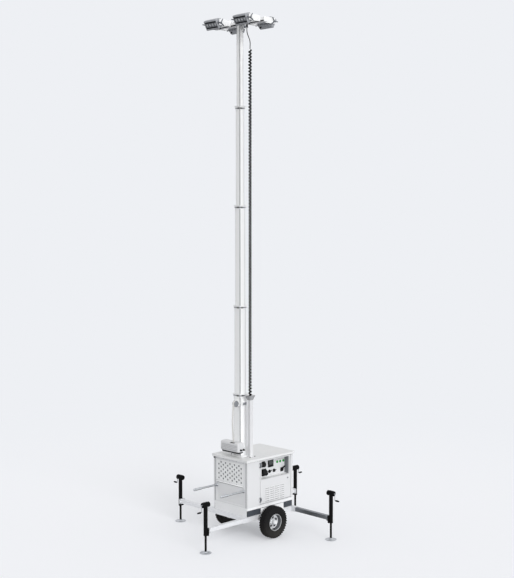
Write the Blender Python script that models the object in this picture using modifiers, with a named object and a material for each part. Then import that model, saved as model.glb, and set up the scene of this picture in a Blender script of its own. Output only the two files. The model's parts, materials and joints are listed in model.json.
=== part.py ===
"""Mobile light tower: a two-wheeled generator cabinet on four telescopic
stabilisers, with a square telescopic mast that carries four floodlights.

Metres, +Z up. The origin is on the ground under the middle of the cabinet,
+X is the control panel side and -Y is the front with the push handles.
"""
import math

import bmesh
import bpy
from mathutils import Matrix, Vector

# Clearances
SEAT = 0.0003
SLIDE = 0.0004
PIN_GAP = 0.0005
DOOR_GAP = 0.006
STOP_GAP = 0.006

# Wheels and axle
TYRE_D = 0.400
TYRE_W = 0.112
RIM_D = 0.206
RIM_W = 0.086
RIM_SHEET = 0.004
RIM_WELL = 0.012
RIM_DISH = 0.012
RIM_RING = (0.60, 0.80)
RIM_HOLES = 5
RIM_HOLE_D = 0.025
WHEEL_STEPS = 24
BEAD_STEP = 0.006
WALL_BULGE = 0.034
SHOULDER_H = 0.024
SHOULDER_W = 0.009
TYRE_TO_BODY = 0.044
AXLE_Y = -0.055
STUB_D = 0.026
AXLE_NUT_D = 0.039
HUB_D = 0.062
HUB_L = 0.070
AXLE_BEAM = 0.050
AXLE_CLEAR = 0.0155
AXLE_PLATE_T = 0.006
AXLE_PLATE_Y = (-0.127, 0.273)

# Cabinet footprint, panels and heights
BODY_W = 0.600
BODY_L = 0.800
WALL = 0.025
CABINET_H = 0.590
LID_OVER_X = 0.017
LID_OVER_Y = 0.022
LID_LIP = 0.030
LID_ROUND = 0.012
LID_T = 0.004
PAN_H = 0.030
PAN_FLOOR = 0.004

# Stabilisers
ARM = 0.050
ARM_WALL = 0.004
SLEEVE_WALL = 0.0046
SLEEVE_PROUD = 0.084
SLEEVE_END = 0.006
SLEEVE_INSET_X = 0.020
SLEEVE_INSET_Y = 0.015
SIDE_REACH = 0.661
END_REACH = 0.666
ARM_LAP = 0.115
MOUNT_PLATE = (0.008, 0.087, 0.065)
BRACKET_W = 0.070
JACK_TUBE_D = 0.049
JACK_LEG_D = 0.027
JACK_DROP = 0.060
JACK_RISE = 0.3395
JACK_HEAD_D = 0.062
JACK_HEAD_L = 0.100
JACK_LEG_LAP = 0.140
FOOT_D = 0.140
FOOT_T = 0.008
# Foot boss: diameter at the plate, diameter at the top, height
FOOT_BOSS = (0.070, 0.034, 0.024)
CRANK_D = 0.010
CRANK_SHAFT = 0.022
CRANK_DROP = 0.080
GRIP_D = 0.022
GRIP_L = 0.070

# Frame
RAIL_W = 0.050
RAIL_H = 0.074
RAIL_INSET = 0.005
CROSS_H = 0.024
CROSS_L = 0.170
BEAM_T = 0.050
BEAM_FACE = 0.005
BEAM_SHY = 0.010

# Doors
HINGE_TO_FRONT = 0.220
HINGE_OUT = 0.008
HINGE_D = 0.018
HINGE_KNUCKLE_D = 0.0158
HINGE_PIN_D = 0.008
HINGE_PIN_L = 0.048
HINGE_L = 0.030
HINGE_LOW = 0.055
HINGE_HIGH = 0.050
TYRE_TO_DOOR = 0.024
DOOR_END = 0.039
DOOR_TOP_DROP = 0.036
WINDOW_SIDE = 0.020
WINDOW_TOP = 0.012
WINDOW_H = 0.226
LOUVRE_SKIN = 0.004
LOUVRE_FIELD_IN = 0.050
LOUVRE_FIELD_END = 0.078
LOUVRE_FIELD_H = 0.184
LOUVRE_ABOVE_EDGE = 0.010
LOUVRE_L = 0.066
LOUVRE_SLOT = 0.009
LOUVRE_PITCH = (0.088, 0.026)
LOUVRE_ROWS = 7
REAR_COLUMNS = 4
LOCK_D = 0.028
LOCK_SHARE = 0.47

# Front grille and handles
GRILLE_X = (-0.250, 0.230)
GRILLE_H = 0.262
GRILLE_DROP = 0.056
GRILLE_T = 0.004
GRILLE_HOLE = 0.022
GRILLE_PITCH = (0.040, 0.058)
LOWER_RECESS = 0.006
LEDGE = (0.008, 0.010)
HANDLE_X = 0.240
HANDLE_UP = 0.208
HANDLE_L = 0.390
HANDLE_D = 0.025
HANDLE_GRIP_D = 0.031
HANDLE_GRIP_L = 0.120
HANDLE_FLANGE = (0.034, 0.042, 0.006)
HANDLE_LAP = 0.003

# Control panel, in the window of the right door
CONTROL_DEPTH = 0.088
CONTROL_WALL = 0.006
CONTROL_CLEAR = 0.006
DEVICE_ROUND = 0.005
# Device: share along the panel, height share, width, height, stand-off
DEVICES = (
    (0.215, 0.72, 0.070, 0.076, 0.020),
    (0.488, 0.71, 0.090, 0.096, 0.010),
    (0.239, 0.26, 0.092, 0.090, 0.030),
    (0.454, 0.25, 0.044, 0.044, 0.022),
    (0.614, 0.25, 0.044, 0.044, 0.022),
    (0.905, 0.26, 0.060, 0.070, 0.026),
)
LIGHT_D = 0.024
LIGHT_UP = 0.70
LIGHTS_ALONG = (0.721, 0.831, 0.945)

# Generator, one plain block
GENERATOR_H = 0.270
GENERATOR_SIDE = 0.075
GENERATOR_REAR = 0.025
GENERATOR_TO_MAST = 0.083
GENERATOR_ROUND = 0.030

# Mast
MAST_TO_FRONT = 0.170
MAST_W = 0.114
MAST_STEP = 0.0135
MAST_WALL = 0.0025
MAST_CORNER = 0.006
MAST_ABOVE_LID = 0.776
MAST_RISES = (1.089, 1.228, 1.202, 0.967)
MAST_LAPS = (0.250, 0.150, 0.120, 0.120)
COLLAR_H = 0.040
COLLAR_NECK = 0.003
COLLAR_OUT = 0.013
COLLAR_RISE = 0.018
COLLAR_SHEET = 0.003
GUIDE_PAD = (0.040, 0.014, 0.005)
CLAMP = (0.016, 0.070, 0.042)
CLAMP_ROUND = 0.006
PAD_H = 0.040
MAST_FLANGE = 0.180
MAST_FLANGE_T = 0.008

# Pulley, rope and winch
PULLEY_X = 0.020
PULLEY_D = 0.076
PULLEY_W = 0.034
PULLEY_GROOVE = 0.006
PULLEY_OFF = 0.045
PULLEY_DROP = 0.120
PULLEY_PIN_D = 0.012
CHEEK_T = 0.005
CHEEK_D = 0.060
ROPE_D = 0.006
WINCH_X = (-0.190, 0.135)
WINCH_Y = 0.110
WINCH_H = 0.125
WINCH_LIFT = 0.062
WINCH_SLOT = (0.090, 0.024, 0.012)
WINCH_ROUND = 0.018
# Rib: how many, first height share, step share, inset, stand-off, height
WINCH_RIB = (3, 0.28, 0.22, 0.030, 0.003, 0.012)
# Gland: diameter, length, spacing, height above the case's foot
GLAND = (0.026, 0.030, 0.048, 0.035)
ROPE_WRAP = 90
ROPE_WRAP_STEPS = 6

# Power cable and its tube
FEED_X = 0.156
FEED_BEHIND_MAST = 0.019
FEED_W = 0.050
FEED_WALL = 0.0025
FEED_ABOVE_LID = 0.704
FUNNEL_H = 0.060
FUNNEL_W = 0.092
COIL_D = 0.043
COIL_TO_BAR = 0.292
LEAD_D = 0.010
LEAD_SHIFT = (-0.036, -0.015)
LEAD_WAVE = 0.014
LEAD_STEPS = 14

# Lamp bar and floodlights
BAR_L = 0.880
BAR_W = 0.060
BAR_H = 0.050
BAR_T = 0.004
LAMP_X = 0.255
LAMP_Y = 0.200
LAMP_UP = 0.030
LAMP_W = 0.226
LAMP_H = 0.128
LAMP_FRONT = 0.045
LAMP_BACK = 0.028
LAMP_TILT = 28
FIN_COUNT = 8
FIN_T = 0.004
FIN_D = 0.026
LENS_COUNT = 4
LENS_D = 0.044
LENS_TIP_D = 0.034
LAMP_ROUND = 0.012
LAMP_FRAME = 0.010
BOSS_D = 0.026
BOSS_L = 0.010
YOKE_T = 0.004
YOKE_H = 0.072
YOKE_OUT = 0.010
YOKE_PAST_PIVOT = 0.020
STRAP_UP = 0.010

# Heights and lines that follow from the sizes above
SLEEVE = ARM + 2 * (SLIDE + SLEEVE_WALL)
SLEEVE_Z = TYRE_D / 2 + AXLE_BEAM / 2 + AXLE_CLEAR
ARM_Z = SLEEVE_Z + SLEEVE / 2
RAIL_Z = SLEEVE_Z + SLEEVE + SEAT
PAN_Z = RAIL_Z + RAIL_H + SEAT
PANEL_Z = PAN_Z + PAN_H + SEAT
PANEL_TOP = PANEL_Z + CABINET_H
LID_TOP = PANEL_TOP + SEAT + LID_T
SIDE_X = BODY_W / 2
FRONT_Y = BODY_L / 2
LENGTHWISE_X = SIDE_X - SLEEVE_INSET_X
CROSSWISE_Y = FRONT_Y - SLEEVE_INSET_Y
MAST_FOOT = RAIL_Z + CROSS_H + SEAT
MAST_TOP = LID_TOP + MAST_ABOVE_LID
DOOR_Z = TYRE_D + TYRE_TO_DOOR
DOOR_TOP = PANEL_TOP - DOOR_TOP_DROP
TRACK = BODY_W + 2 * TYRE_TO_BODY + TYRE_W
HINGE_Y = -FRONT_Y + HINGE_TO_FRONT
DOOR_L = BODY_L - HINGE_TO_FRONT - DOOR_GAP / 2 - DOOR_END
MAST_Y = -FRONT_Y + MAST_TO_FRONT
FEED_Y = MAST_Y + FEED_BEHIND_MAST

# Stabiliser name, outward turn about +Z in degrees, place of its jack
STABILISERS = (
    ("front_left", 180, (-SIDE_X - SIDE_REACH, -CROSSWISE_Y, 0), SIDE_REACH),
    ("front_right", -90, (LENGTHWISE_X, -FRONT_Y - END_REACH, 0), END_REACH),
    ("rear_right", 0, (SIDE_X + SIDE_REACH, CROSSWISE_Y, 0), SIDE_REACH),
    ("rear_left", 90, (-LENGTHWISE_X, FRONT_Y + END_REACH, 0), END_REACH),
)

# Finish: colour, roughness, metallic
FINISHES = {
    "white paint": ((0.78, 0.79, 0.80), 0.45, 0.0),
    "cabinet grey": ((0.70, 0.71, 0.72), 0.5, 0.0),
    "light grey": ((0.52, 0.53, 0.55), 0.5, 0.0),
    "frame blue grey": ((0.065, 0.075, 0.095), 0.55, 0.0),
    "black paint": ((0.02, 0.02, 0.022), 0.45, 0.0),
    "zinc": ((0.62, 0.64, 0.66), 0.35, 0.9),
    "silver rim": ((0.55, 0.56, 0.58), 0.4, 0.6),
    "tyre rubber": ((0.02, 0.02, 0.02), 0.85, 0.0),
    "black rubber": ((0.015, 0.015, 0.015), 0.6, 0.0),
    "lamp grey": ((0.22, 0.23, 0.25), 0.5, 0.4),
    "steel": ((0.4, 0.41, 0.43), 0.4, 0.9),
}

parts = bpy.data.collections.new("mobile_light_tower")
cutters = bpy.data.collections.new("cutters")


def clear_scene():
    for old in list(bpy.data.objects):
        bpy.data.objects.remove(old, do_unlink=True)
    bpy.context.scene.collection.children.link(parts)
    bpy.context.scene.collection.children.link(cutters)


def material(name, finish):
    colour, roughness, metallic = FINISHES[finish]
    paint = bpy.data.materials.new(name)
    paint.use_nodes = True
    shader = paint.node_tree.nodes["Principled BSDF"]
    shader.inputs["Base Color"].default_value = (*colour, 1)
    shader.inputs["Roughness"].default_value = roughness
    shader.inputs["Metallic"].default_value = metallic
    return paint


def box(bm, low, high, round_axis=None, radius=0.0):
    """A box between two corners, with the edges along one axis rounded if asked."""
    low = Vector(low)
    high = Vector(high)
    scale = Matrix.Diagonal((*(high - low), 1))
    made = bmesh.ops.create_cube(bm, size=1, matrix=Matrix.Translation((low + high) / 2) @ scale)
    if round_axis is None:
        return
    edges = {edge for vert in made["verts"] for edge in vert.link_edges}
    along = []
    for edge in edges:
        run = edge.verts[1].co - edge.verts[0].co
        if abs(run[round_axis]) > 0.9 * run.length:
            along.append(edge)
    bmesh.ops.bevel(bm, geom=along, offset=radius, segments=2, profile=0.5, affect="EDGES")


def rod(bm, start, end, radius, sides=16, end_radius=None):
    """A cylinder or cone between two points."""
    start = Vector(start)
    end = Vector(end)
    run = end - start
    turn = run.to_track_quat("Z", "Y").to_matrix().to_4x4()
    bmesh.ops.create_cone(
        bm,
        cap_ends=True,
        segments=sides,
        radius1=radius,
        radius2=radius if end_radius is None else end_radius,
        depth=run.length,
        matrix=Matrix.Translation((start + end) / 2) @ turn,
    )


def flared_box(bm, low, high, rise, flare):
    """A box whose top face is drawn up and out into a funnel."""
    box(bm, low, high)
    bm.faces.ensure_lookup_table()
    top = max(bm.faces, key=lambda face: face.calc_center_median().z)
    centre = top.calc_center_median()
    drawn = bmesh.ops.extrude_face_region(bm, geom=[top])
    bmesh.ops.delete(bm, geom=[top], context="FACES_ONLY")
    for item in drawn["geom"]:
        if isinstance(item, bmesh.types.BMVert):
            item.co.x = centre.x + (item.co.x - centre.x) * flare
            item.co.y = centre.y + (item.co.y - centre.y) * flare
            item.co.z += rise


def mesh_object(name, build, collection):
    mesh = bpy.data.meshes.new(name)
    bm = bmesh.new()
    build(bm)
    bm.to_mesh(mesh)
    bm.free()
    item = bpy.data.objects.new(name, mesh)
    collection.objects.link(item)
    return item


def piece(name, finish, build, at=(0, 0, 0), turn=(0, 0, 0)):
    """One node of the tower, built round its own origin and then placed."""
    item = mesh_object(name, build, parts)
    item.location = at
    item.rotation_euler = [math.radians(angle) for angle in turn]
    item.data.materials.append(material(name, finish))
    return item


def combine(item, operation, build):
    """Join or cut a piece with a shape built in the piece's own frame."""
    tool = mesh_object(item.name + "_" + operation.lower(), build, cutters)
    tool.parent = item
    tool.hide_render = True
    tool.display_type = "WIRE"
    step = item.modifiers.new(operation.title(), "BOOLEAN")
    step.operation = operation
    step.solver = "EXACT"
    step.object = tool


def join(item, *builds):
    for build in builds:
        combine(item, "UNION", build)


def cut(item, *builds):
    for build in builds:
        combine(item, "DIFFERENCE", build)


def turned(name, finish, profile, steps, at, turn):
    """A ring turned from a closed profile of (radius, height) points."""
    count = len(profile)
    area = 0
    for index, (radius, height) in enumerate(profile):
        after = profile[(index + 1) % count]
        area += radius * after[1] - after[0] * height
    points = list(profile) if area < 0 else list(reversed(profile))

    mesh = bpy.data.meshes.new(name)
    edges = [(index, (index + 1) % count) for index in range(count)]
    mesh.from_pydata([(radius, 0, height) for radius, height in points], edges, [])
    item = bpy.data.objects.new(name, mesh)
    parts.objects.link(item)
    item.location = at
    item.rotation_euler = [math.radians(angle) for angle in turn]
    item.data.materials.append(material(name, finish))
    screw = item.modifiers.new("Turn", "SCREW")
    screw.steps = steps
    screw.render_steps = steps
    screw.use_merge_vertices = True
    screw.merge_threshold = 0.00001
    return item


def wire(name, finish, points, radius, resolution=2):
    """A closed tube along a list of points."""
    line = bpy.data.curves.new(name, "CURVE")
    line.dimensions = "3D"
    line.bevel_depth = radius
    line.bevel_resolution = resolution
    line.use_fill_caps = True
    spline = line.splines.new("POLY")
    spline.points.add(len(points) - 1)
    for spot, point in zip(spline.points, points):
        spot.co = (*point, 1)
    item = bpy.data.objects.new(name, line)
    parts.objects.link(item)
    line.materials.append(material(name, finish))
    return item


# Chassis


def make_sleeves():
    """Four square sleeves in a pinwheel, each open at its outer end."""
    half = SLEEVE / 2
    bore = ARM / 2 + SLIDE
    weld = SLEEVE_WALL / 2
    mouth_x = SIDE_X + SLEEVE_PROUD
    mouth_y = FRONT_Y + SLEEVE_PROUD
    inner_x = LENGTHWISE_X - half
    inner_y = CROSSWISE_Y - half
    z = ARM_Z

    def crosswise(side):
        def build(bm):
            ends = sorted((side * mouth_x, -side * (inner_x + weld)))
            y = side * CROSSWISE_Y
            box(bm, (ends[0], y - half, z - half), (ends[1], y + half, z + half))
        return build

    def lengthwise(side):
        def build(bm):
            ends = sorted((-side * mouth_y, side * (inner_y + weld)))
            x = side * LENGTHWISE_X
            box(bm, (x - half, ends[0], z - half), (x + half, ends[1], z + half))
        return build

    def bores(bm):
        for side in (-1, 1):
            ends = sorted((side * (mouth_x + SLEEVE_WALL), -side * (inner_x - SLEEVE_END)))
            y = side * CROSSWISE_Y
            box(bm, (ends[0], y - bore, z - bore), (ends[1], y + bore, z + bore))

    def long_bores(bm):
        for side in (-1, 1):
            ends = sorted((-side * (mouth_y + SLEEVE_WALL), side * (inner_y - SLEEVE_END)))
            x = side * LENGTHWISE_X
            box(bm, (x - bore, ends[0], z - bore), (x + bore, ends[1], z + bore))

    sleeves = piece("stabiliser_sleeves", "zinc", crosswise(-1))
    join(sleeves, lengthwise(1), lengthwise(-1), crosswise(1))
    cut(sleeves, bores, long_bores)


def make_frame():
    """Two rails, the cross member under the mast, and the end beams with their faces."""
    outer = SIDE_X - RAIL_INSET
    inner = outer - RAIL_W
    top = RAIL_Z + RAIL_H
    end = FRONT_Y - BEAM_FACE - SEAT

    def rails(bm):
        box(bm, (inner, -end, RAIL_Z), (outer, end, top))
        box(bm, (-outer, -end, RAIL_Z), (-inner, end, top))

    def cross(bm):
        low = (-outer + RAIL_W / 2, MAST_Y - CROSS_L / 2, RAIL_Z)
        box(bm, low, (outer - RAIL_W / 2, MAST_Y + CROSS_L / 2, RAIL_Z + CROSS_H))

    frame = piece("frame_rails", "frame blue grey", cross)
    join(frame, rails)

    for name, side in (("front_beam", -1), ("rear_beam", 1)):
        def beam(bm):
            ends = sorted((side * FRONT_Y, side * (FRONT_Y - BEAM_T)))
            box(bm, (-inner + SEAT, ends[0], RAIL_Z), (inner - SEAT, ends[1], top))

        def face(bm):
            ends = sorted((side * FRONT_Y, side * (FRONT_Y - BEAM_FACE)))
            wide = outer - BEAM_SHY
            box(bm, (-wide, ends[0], RAIL_Z), (wide, ends[1], top))

        join(piece(name, "light grey", beam), face)


def make_axle():
    """A square axle hung from plates on the outside of the sleeves."""
    half = AXLE_BEAM / 2
    z = TYRE_D / 2
    plate_in = LENGTHWISE_X + SLEEVE / 2 + SEAT
    plate_out = plate_in + AXLE_PLATE_T
    hub_in = TRACK / 2 - HUB_L / 2
    hub_out = TRACK / 2 + HUB_L / 2

    def beam(bm):
        end = hub_in - PIN_GAP
        box(bm, (-end, AXLE_Y - half, z - half), (end, AXLE_Y + half, z + half))

    def plates(bm):
        for side in (-1, 1):
            ends = sorted((side * plate_in, side * plate_out))
            low = (ends[0], AXLE_Y + AXLE_PLATE_Y[0], z - half / 2)
            box(bm, low, (ends[1], AXLE_Y + AXLE_PLATE_Y[1], RAIL_Z + RAIL_H))

    def stubs(bm):
        for side in (-1, 1):
            inner = side * (hub_in - half)
            outer = side * (hub_out + half / 2)
            rod(bm, (inner, AXLE_Y, z), (outer, AXLE_Y, z), STUB_D / 2)

    def nuts(bm):
        for side in (-1, 1):
            start = side * (hub_out + PIN_GAP)
            rod(bm, (start, AXLE_Y, z), (start + side * STUB_D / 2, AXLE_Y, z), AXLE_NUT_D / 2, sides=6)

    axle = piece("axle_beam", "light grey", beam)
    join(axle, plates, stubs, nuts)


def make_wheels():
    """Tyres and dished rims, each turned about its own axle."""
    bead = RIM_D / 2
    tread = TYRE_D / 2
    half = TYRE_W / 2
    barrel = RIM_W / 2
    fit = bead + SEAT
    tyre_profile = [
        (fit, -barrel), (fit, barrel), (fit + BEAD_STEP, barrel + BEAD_STEP),
        (fit + WALL_BULGE, half), (tread - SHOULDER_H, half - SHOULDER_W / 3),
        (tread - SHOULDER_H / 4, half - SHOULDER_W), (tread, half - 2 * SHOULDER_W),
        (tread, -half + 2 * SHOULDER_W), (tread - SHOULDER_H / 4, -half + SHOULDER_W),
        (tread - SHOULDER_H, -half + SHOULDER_W / 3), (fit + WALL_BULGE, -half),
        (fit + BEAD_STEP, -barrel - BEAD_STEP),
    ]
    hub = HUB_D / 2
    bore = STUB_D / 2 + PIN_GAP
    skin = RIM_SHEET
    well = bead - RIM_WELL
    ring = (bead * RIM_RING[0], bead * RIM_RING[1])
    end = HUB_L / 2
    rim_profile = [
        (bore, -end), (hub, -end), (hub, 0), (ring[0], -RIM_DISH), (ring[1], -RIM_DISH),
        (well - skin, 0), (well, -barrel + skin), (bead - skin, -barrel),
        (bead, -barrel), (bead, barrel), (bead - skin, barrel), (well, barrel - RIM_WELL),
        (well, 2 * skin), (ring[1], skin - RIM_DISH), (ring[0], skin - RIM_DISH),
        (hub, 2 * skin), (hub, end), (bore, end),
    ]
    for name, side in (("right", 1), ("left", -1)):
        centre = (side * TRACK / 2, AXLE_Y, TYRE_D / 2)
        face = (0, side * 90, 0)
        turned("tyre_" + name, "tyre rubber", tyre_profile, WHEEL_STEPS, centre, face)
        rim = turned("rim_" + name, "silver rim", rim_profile, WHEEL_STEPS, centre, face)

        def holes(bm):
            for index in range(RIM_HOLES):
                angle = 2 * math.pi * (0.25 + index / RIM_HOLES)
                radius = (ring[0] + ring[1]) / 2
                spot = (radius * math.cos(angle), radius * math.sin(angle))
                rod(bm, (*spot, -barrel), (*spot, barrel), RIM_HOLE_D / 2, sides=10)
        cut(rim, holes)


# Cabinet


def mast_hole(low_z, high_z, gap):
    """A cutter for the mast, where it passes a sheet."""
    def build(bm):
        reach = MAST_W / 2 + gap
        box(bm, (-reach, MAST_Y - reach, low_z), (reach, MAST_Y + reach, high_z))
    return build


def feed_hole(low_z, high_z, gap):
    """A cutter for the cable tube, where it passes a sheet."""
    def build(bm):
        reach = FEED_W / 2 + gap
        box(bm, (FEED_X - reach, FEED_Y - reach, low_z), (FEED_X + reach, FEED_Y + reach, high_z))
    return build


def make_pan():
    def slab(bm):
        box(bm, (-SIDE_X, -FRONT_Y, PAN_Z), (SIDE_X, FRONT_Y, PAN_Z + PAN_H))

    def pocket(bm):
        low = (-SIDE_X + WALL, -FRONT_Y + WALL, PAN_Z + PAN_FLOOR)
        box(bm, low, (SIDE_X - WALL, FRONT_Y - WALL, PAN_Z + 2 * PAN_H))

    pan = piece("floor_pan", "light grey", slab)
    below = PAN_Z - PAN_H
    above = PAN_Z + PAN_H
    cut(pan, pocket, mast_hole(below, above, PIN_GAP), feed_hole(below, above, PIN_GAP))


def make_lid():
    half_x = SIDE_X + LID_OVER_X
    half_y = FRONT_Y + LID_OVER_Y

    def slab(bm):
        box(bm, (-half_x, -half_y, LID_TOP - LID_LIP), (half_x, half_y, LID_TOP), 2, LID_ROUND)

    def underside(bm):
        low = (-half_x + LID_T, -half_y + LID_T, LID_TOP - 2 * LID_LIP)
        box(bm, low, (half_x - LID_T, half_y - LID_T, LID_TOP - LID_T))

    lid = piece("cabinet_lid", "white paint", slab)
    below = LID_TOP - LID_LIP
    above = LID_TOP + LID_LIP
    cut(lid, underside, mast_hole(below, above, PIN_GAP), feed_hole(below, above, PIN_GAP))


def louvre_slots(bm, columns, rows, centre_y, centre_z, depth):
    """Through slots in a field of columns and rows, on a sheet that faces X."""
    for column in range(columns):
        y = centre_y + (column - (columns - 1) / 2) * LOUVRE_PITCH[0]
        for row in range(rows):
            z = centre_z + (row - (rows - 1) / 2) * LOUVRE_PITCH[1]
            low = (depth[0], y - LOUVRE_L / 2, z - LOUVRE_SLOT / 2)
            box(bm, low, (depth[1], y + LOUVRE_L / 2, z + LOUVRE_SLOT / 2))


def make_end_panels():
    """Front panel with its window for the grille, and the louvred rear panel."""
    half = SIDE_X - WALL - SEAT
    low_z = PANEL_Z
    grille_top = PANEL_TOP - GRILLE_DROP
    grille_low = grille_top - GRILLE_H

    def front(bm):
        box(bm, (-half, -FRONT_Y, low_z), (half, -FRONT_Y + WALL, PANEL_TOP))

    def window(bm):
        low = (GRILLE_X[0] - SEAT, -FRONT_Y - WALL, grille_low - SEAT)
        box(bm, low, (GRILLE_X[1] + SEAT, -FRONT_Y + 2 * WALL, grille_top + SEAT))

    def recess(bm):
        low = (GRILLE_X[0], -FRONT_Y - WALL, low_z + 2 * LOUVRE_ABOVE_EDGE)
        high = (GRILLE_X[1], -FRONT_Y + LOWER_RECESS, grille_low - 2 * LOUVRE_ABOVE_EDGE)
        box(bm, low, high)

    def ledge(bm):
        proud, tall = LEDGE
        high_z = grille_low - LOUVRE_ABOVE_EDGE
        low = (GRILLE_X[0], -FRONT_Y - proud, high_z - tall)
        box(bm, low, (GRILLE_X[1], -FRONT_Y + WALL / 2, high_z))

    panel = piece("cabinet_front_panel", "cabinet grey", front)
    cut(panel, window, recess)
    join(panel, ledge)

    def plate(bm):
        low = (GRILLE_X[0], -FRONT_Y, grille_low)
        box(bm, low, (GRILLE_X[1], -FRONT_Y + GRILLE_T, grille_top))

    def holes(bm):
        radius = GRILLE_HOLE / 2
        width = GRILLE_X[1] - GRILLE_X[0]
        columns = int((width - GRILLE_HOLE) / GRILLE_PITCH[0])
        first = (GRILLE_X[0] + GRILLE_X[1]) / 2 - (columns - 1) / 2 * GRILLE_PITCH[0]
        rows = int(GRILLE_H / GRILLE_PITCH[1])
        for column in range(columns):
            x = first + column * GRILLE_PITCH[0]
            middle = (grille_low + grille_top) / 2
            shift = GRILLE_PITCH[1] / 4 * (1 if column % 2 else -1)
            for row in range(rows):
                z = middle + shift + (row - (rows - 1) / 2) * GRILLE_PITCH[1]
                rod(bm, (x, -FRONT_Y - GRILLE_T, z), (x, -FRONT_Y + 2 * GRILLE_T, z), radius, sides=8)

    grille = piece("front_grille", "cabinet grey", plate)
    cut(grille, holes)

    def rear(bm):
        box(bm, (-half, FRONT_Y - WALL, low_z), (half, FRONT_Y, PANEL_TOP))

    def rear_slots(bm):
        middle = (low_z + PANEL_TOP) / 2
        for column in range(REAR_COLUMNS):
            x = (column - (REAR_COLUMNS - 1) / 2) * LOUVRE_PITCH[0]
            for row in range(LOUVRE_ROWS):
                z = middle + (row - (LOUVRE_ROWS - 1) / 2) * LOUVRE_PITCH[1] * 2
                low = (x - LOUVRE_L / 2, FRONT_Y - 2 * WALL, z - LOUVRE_SLOT / 2)
                box(bm, low, (x + LOUVRE_L / 2, FRONT_Y + WALL, z + LOUVRE_SLOT / 2))

    panel = piece("cabinet_rear_panel", "cabinet grey", rear)
    cut(panel, rear_slots)


def hinge_heights():
    return (DOOR_Z + HINGE_LOW, DOOR_TOP - HINGE_HIGH)


def make_side(name, turn, has_window):
    """A side wall with its doorway, the door on two hinges, and its louvres.

    Both sides are built as the right one, about the hinge axis, and the left
    one is the same pair turned half round.
    """
    axis = Vector((SIDE_X + HINGE_OUT, HINGE_Y, 0))
    place = Matrix.Rotation(math.radians(turn), 4, "Z") @ axis
    outer = -HINGE_OUT
    inner = outer - WALL
    edge = DOOR_GAP / 2
    door_low = (inner, edge, DOOR_Z)
    door_high = (outer, edge + DOOR_L, DOOR_TOP)

    def wall(bm):
        low = (inner, -FRONT_Y - HINGE_Y, PANEL_Z)
        box(bm, low, (outer, FRONT_Y - HINGE_Y, PANEL_TOP))

    def doorway(bm):
        low = (inner - WALL, edge - DOOR_GAP, DOOR_Z - DOOR_GAP)
        box(bm, low, (outer + WALL, edge + DOOR_L + DOOR_GAP, DOOR_TOP + DOOR_GAP))

    side = piece("cabinet_side_" + name, "cabinet grey", wall, at=place, turn=(0, 0, turn))
    cut(side, doorway)

    def fixed_leaves(bm):
        for z in hinge_heights():
            for step in (-1, 1):
                near = z + step * (HINGE_L / 2 + PIN_GAP)
                far = near + step * HINGE_L / 2
                ends = sorted((near, far))
                low = (outer - HINGE_OUT / 2, -HINGE_D - DOOR_GAP, ends[0])
                box(bm, low, (0, 0, ends[1]))

    def fixed_knuckles(bm):
        for z in hinge_heights():
            for step in (-1, 1):
                near = z + step * (HINGE_L / 2 + PIN_GAP)
                rod(bm, (0, 0, near), (0, 0, near + step * HINGE_L / 2), HINGE_KNUCKLE_D / 2, sides=12)

    def pins(bm):
        for z in hinge_heights():
            rod(bm, (0, 0, z - HINGE_PIN_L / 2), (0, 0, z + HINGE_PIN_L / 2), HINGE_PIN_D / 2, sides=12)

    join(side, fixed_leaves, fixed_knuckles, pins)

    def door_slab(bm):
        box(bm, door_low, door_high)

    door = piece("door_" + name, "cabinet grey", door_slab, at=place, turn=(0, 0, turn))

    def door_leaves(bm):
        for z in hinge_heights():
            low = (outer - HINGE_OUT / 2, 0, z - HINGE_L / 2)
            box(bm, low, (0, HINGE_D + DOOR_GAP, z + HINGE_L / 2))

    def door_knuckles(bm):
        for z in hinge_heights():
            rod(bm, (0, 0, z - HINGE_L / 2), (0, 0, z + HINGE_L / 2), HINGE_KNUCKLE_D / 2, sides=12)

    def pin_bores(bm):
        for z in hinge_heights():
            rod(bm, (0, 0, z - HINGE_L), (0, 0, z + HINGE_L), HINGE_PIN_D / 2 + PIN_GAP, sides=12)

    def lock(bm):
        y = edge + DOOR_L - 2 * LOCK_D
        z = DOOR_Z + (DOOR_TOP - DOOR_Z) * LOCK_SHARE
        rod(bm, (outer - WALL / 2, y, z), (outer + HINGE_OUT / 2, y, z), LOCK_D / 2, sides=16)

    join(door, door_leaves, door_knuckles, lock)
    cut(door, pin_bores)

    window_top = DOOR_TOP - WINDOW_TOP
    if has_window:
        def window(bm):
            low = (inner - WALL, edge + WINDOW_SIDE, window_top - WINDOW_H)
            box(bm, low, (outer + WALL, edge + DOOR_L - WINDOW_SIDE, window_top))
        cut(door, window)

    field_low = DOOR_Z + LOUVRE_ABOVE_EDGE
    field_high = field_low + LOUVRE_FIELD_H
    field_start = edge + LOUVRE_FIELD_IN
    field_end = edge + DOOR_L - LOUVRE_FIELD_END
    columns = int((field_end - field_start) / LOUVRE_PITCH[0])

    def field(bm):
        low = (inner - WALL, field_start - SEAT, field_low - SEAT)
        box(bm, low, (outer + WALL, field_end + SEAT, field_high + SEAT))

    def field_plate(bm):
        box(bm, (outer - LOUVRE_SKIN, field_start, field_low), (outer, field_end, field_high))

    def slots(bm):
        middle_y = (field_start + field_end) / 2
        middle_z = (field_low + field_high) / 2
        louvre_slots(bm, columns, LOUVRE_ROWS, middle_y, middle_z, (inner, outer + WALL))

    cut(door, field)
    louvres = piece("louvres_" + name, "cabinet grey", field_plate, at=place, turn=(0, 0, turn))
    cut(louvres, slots)


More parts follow.
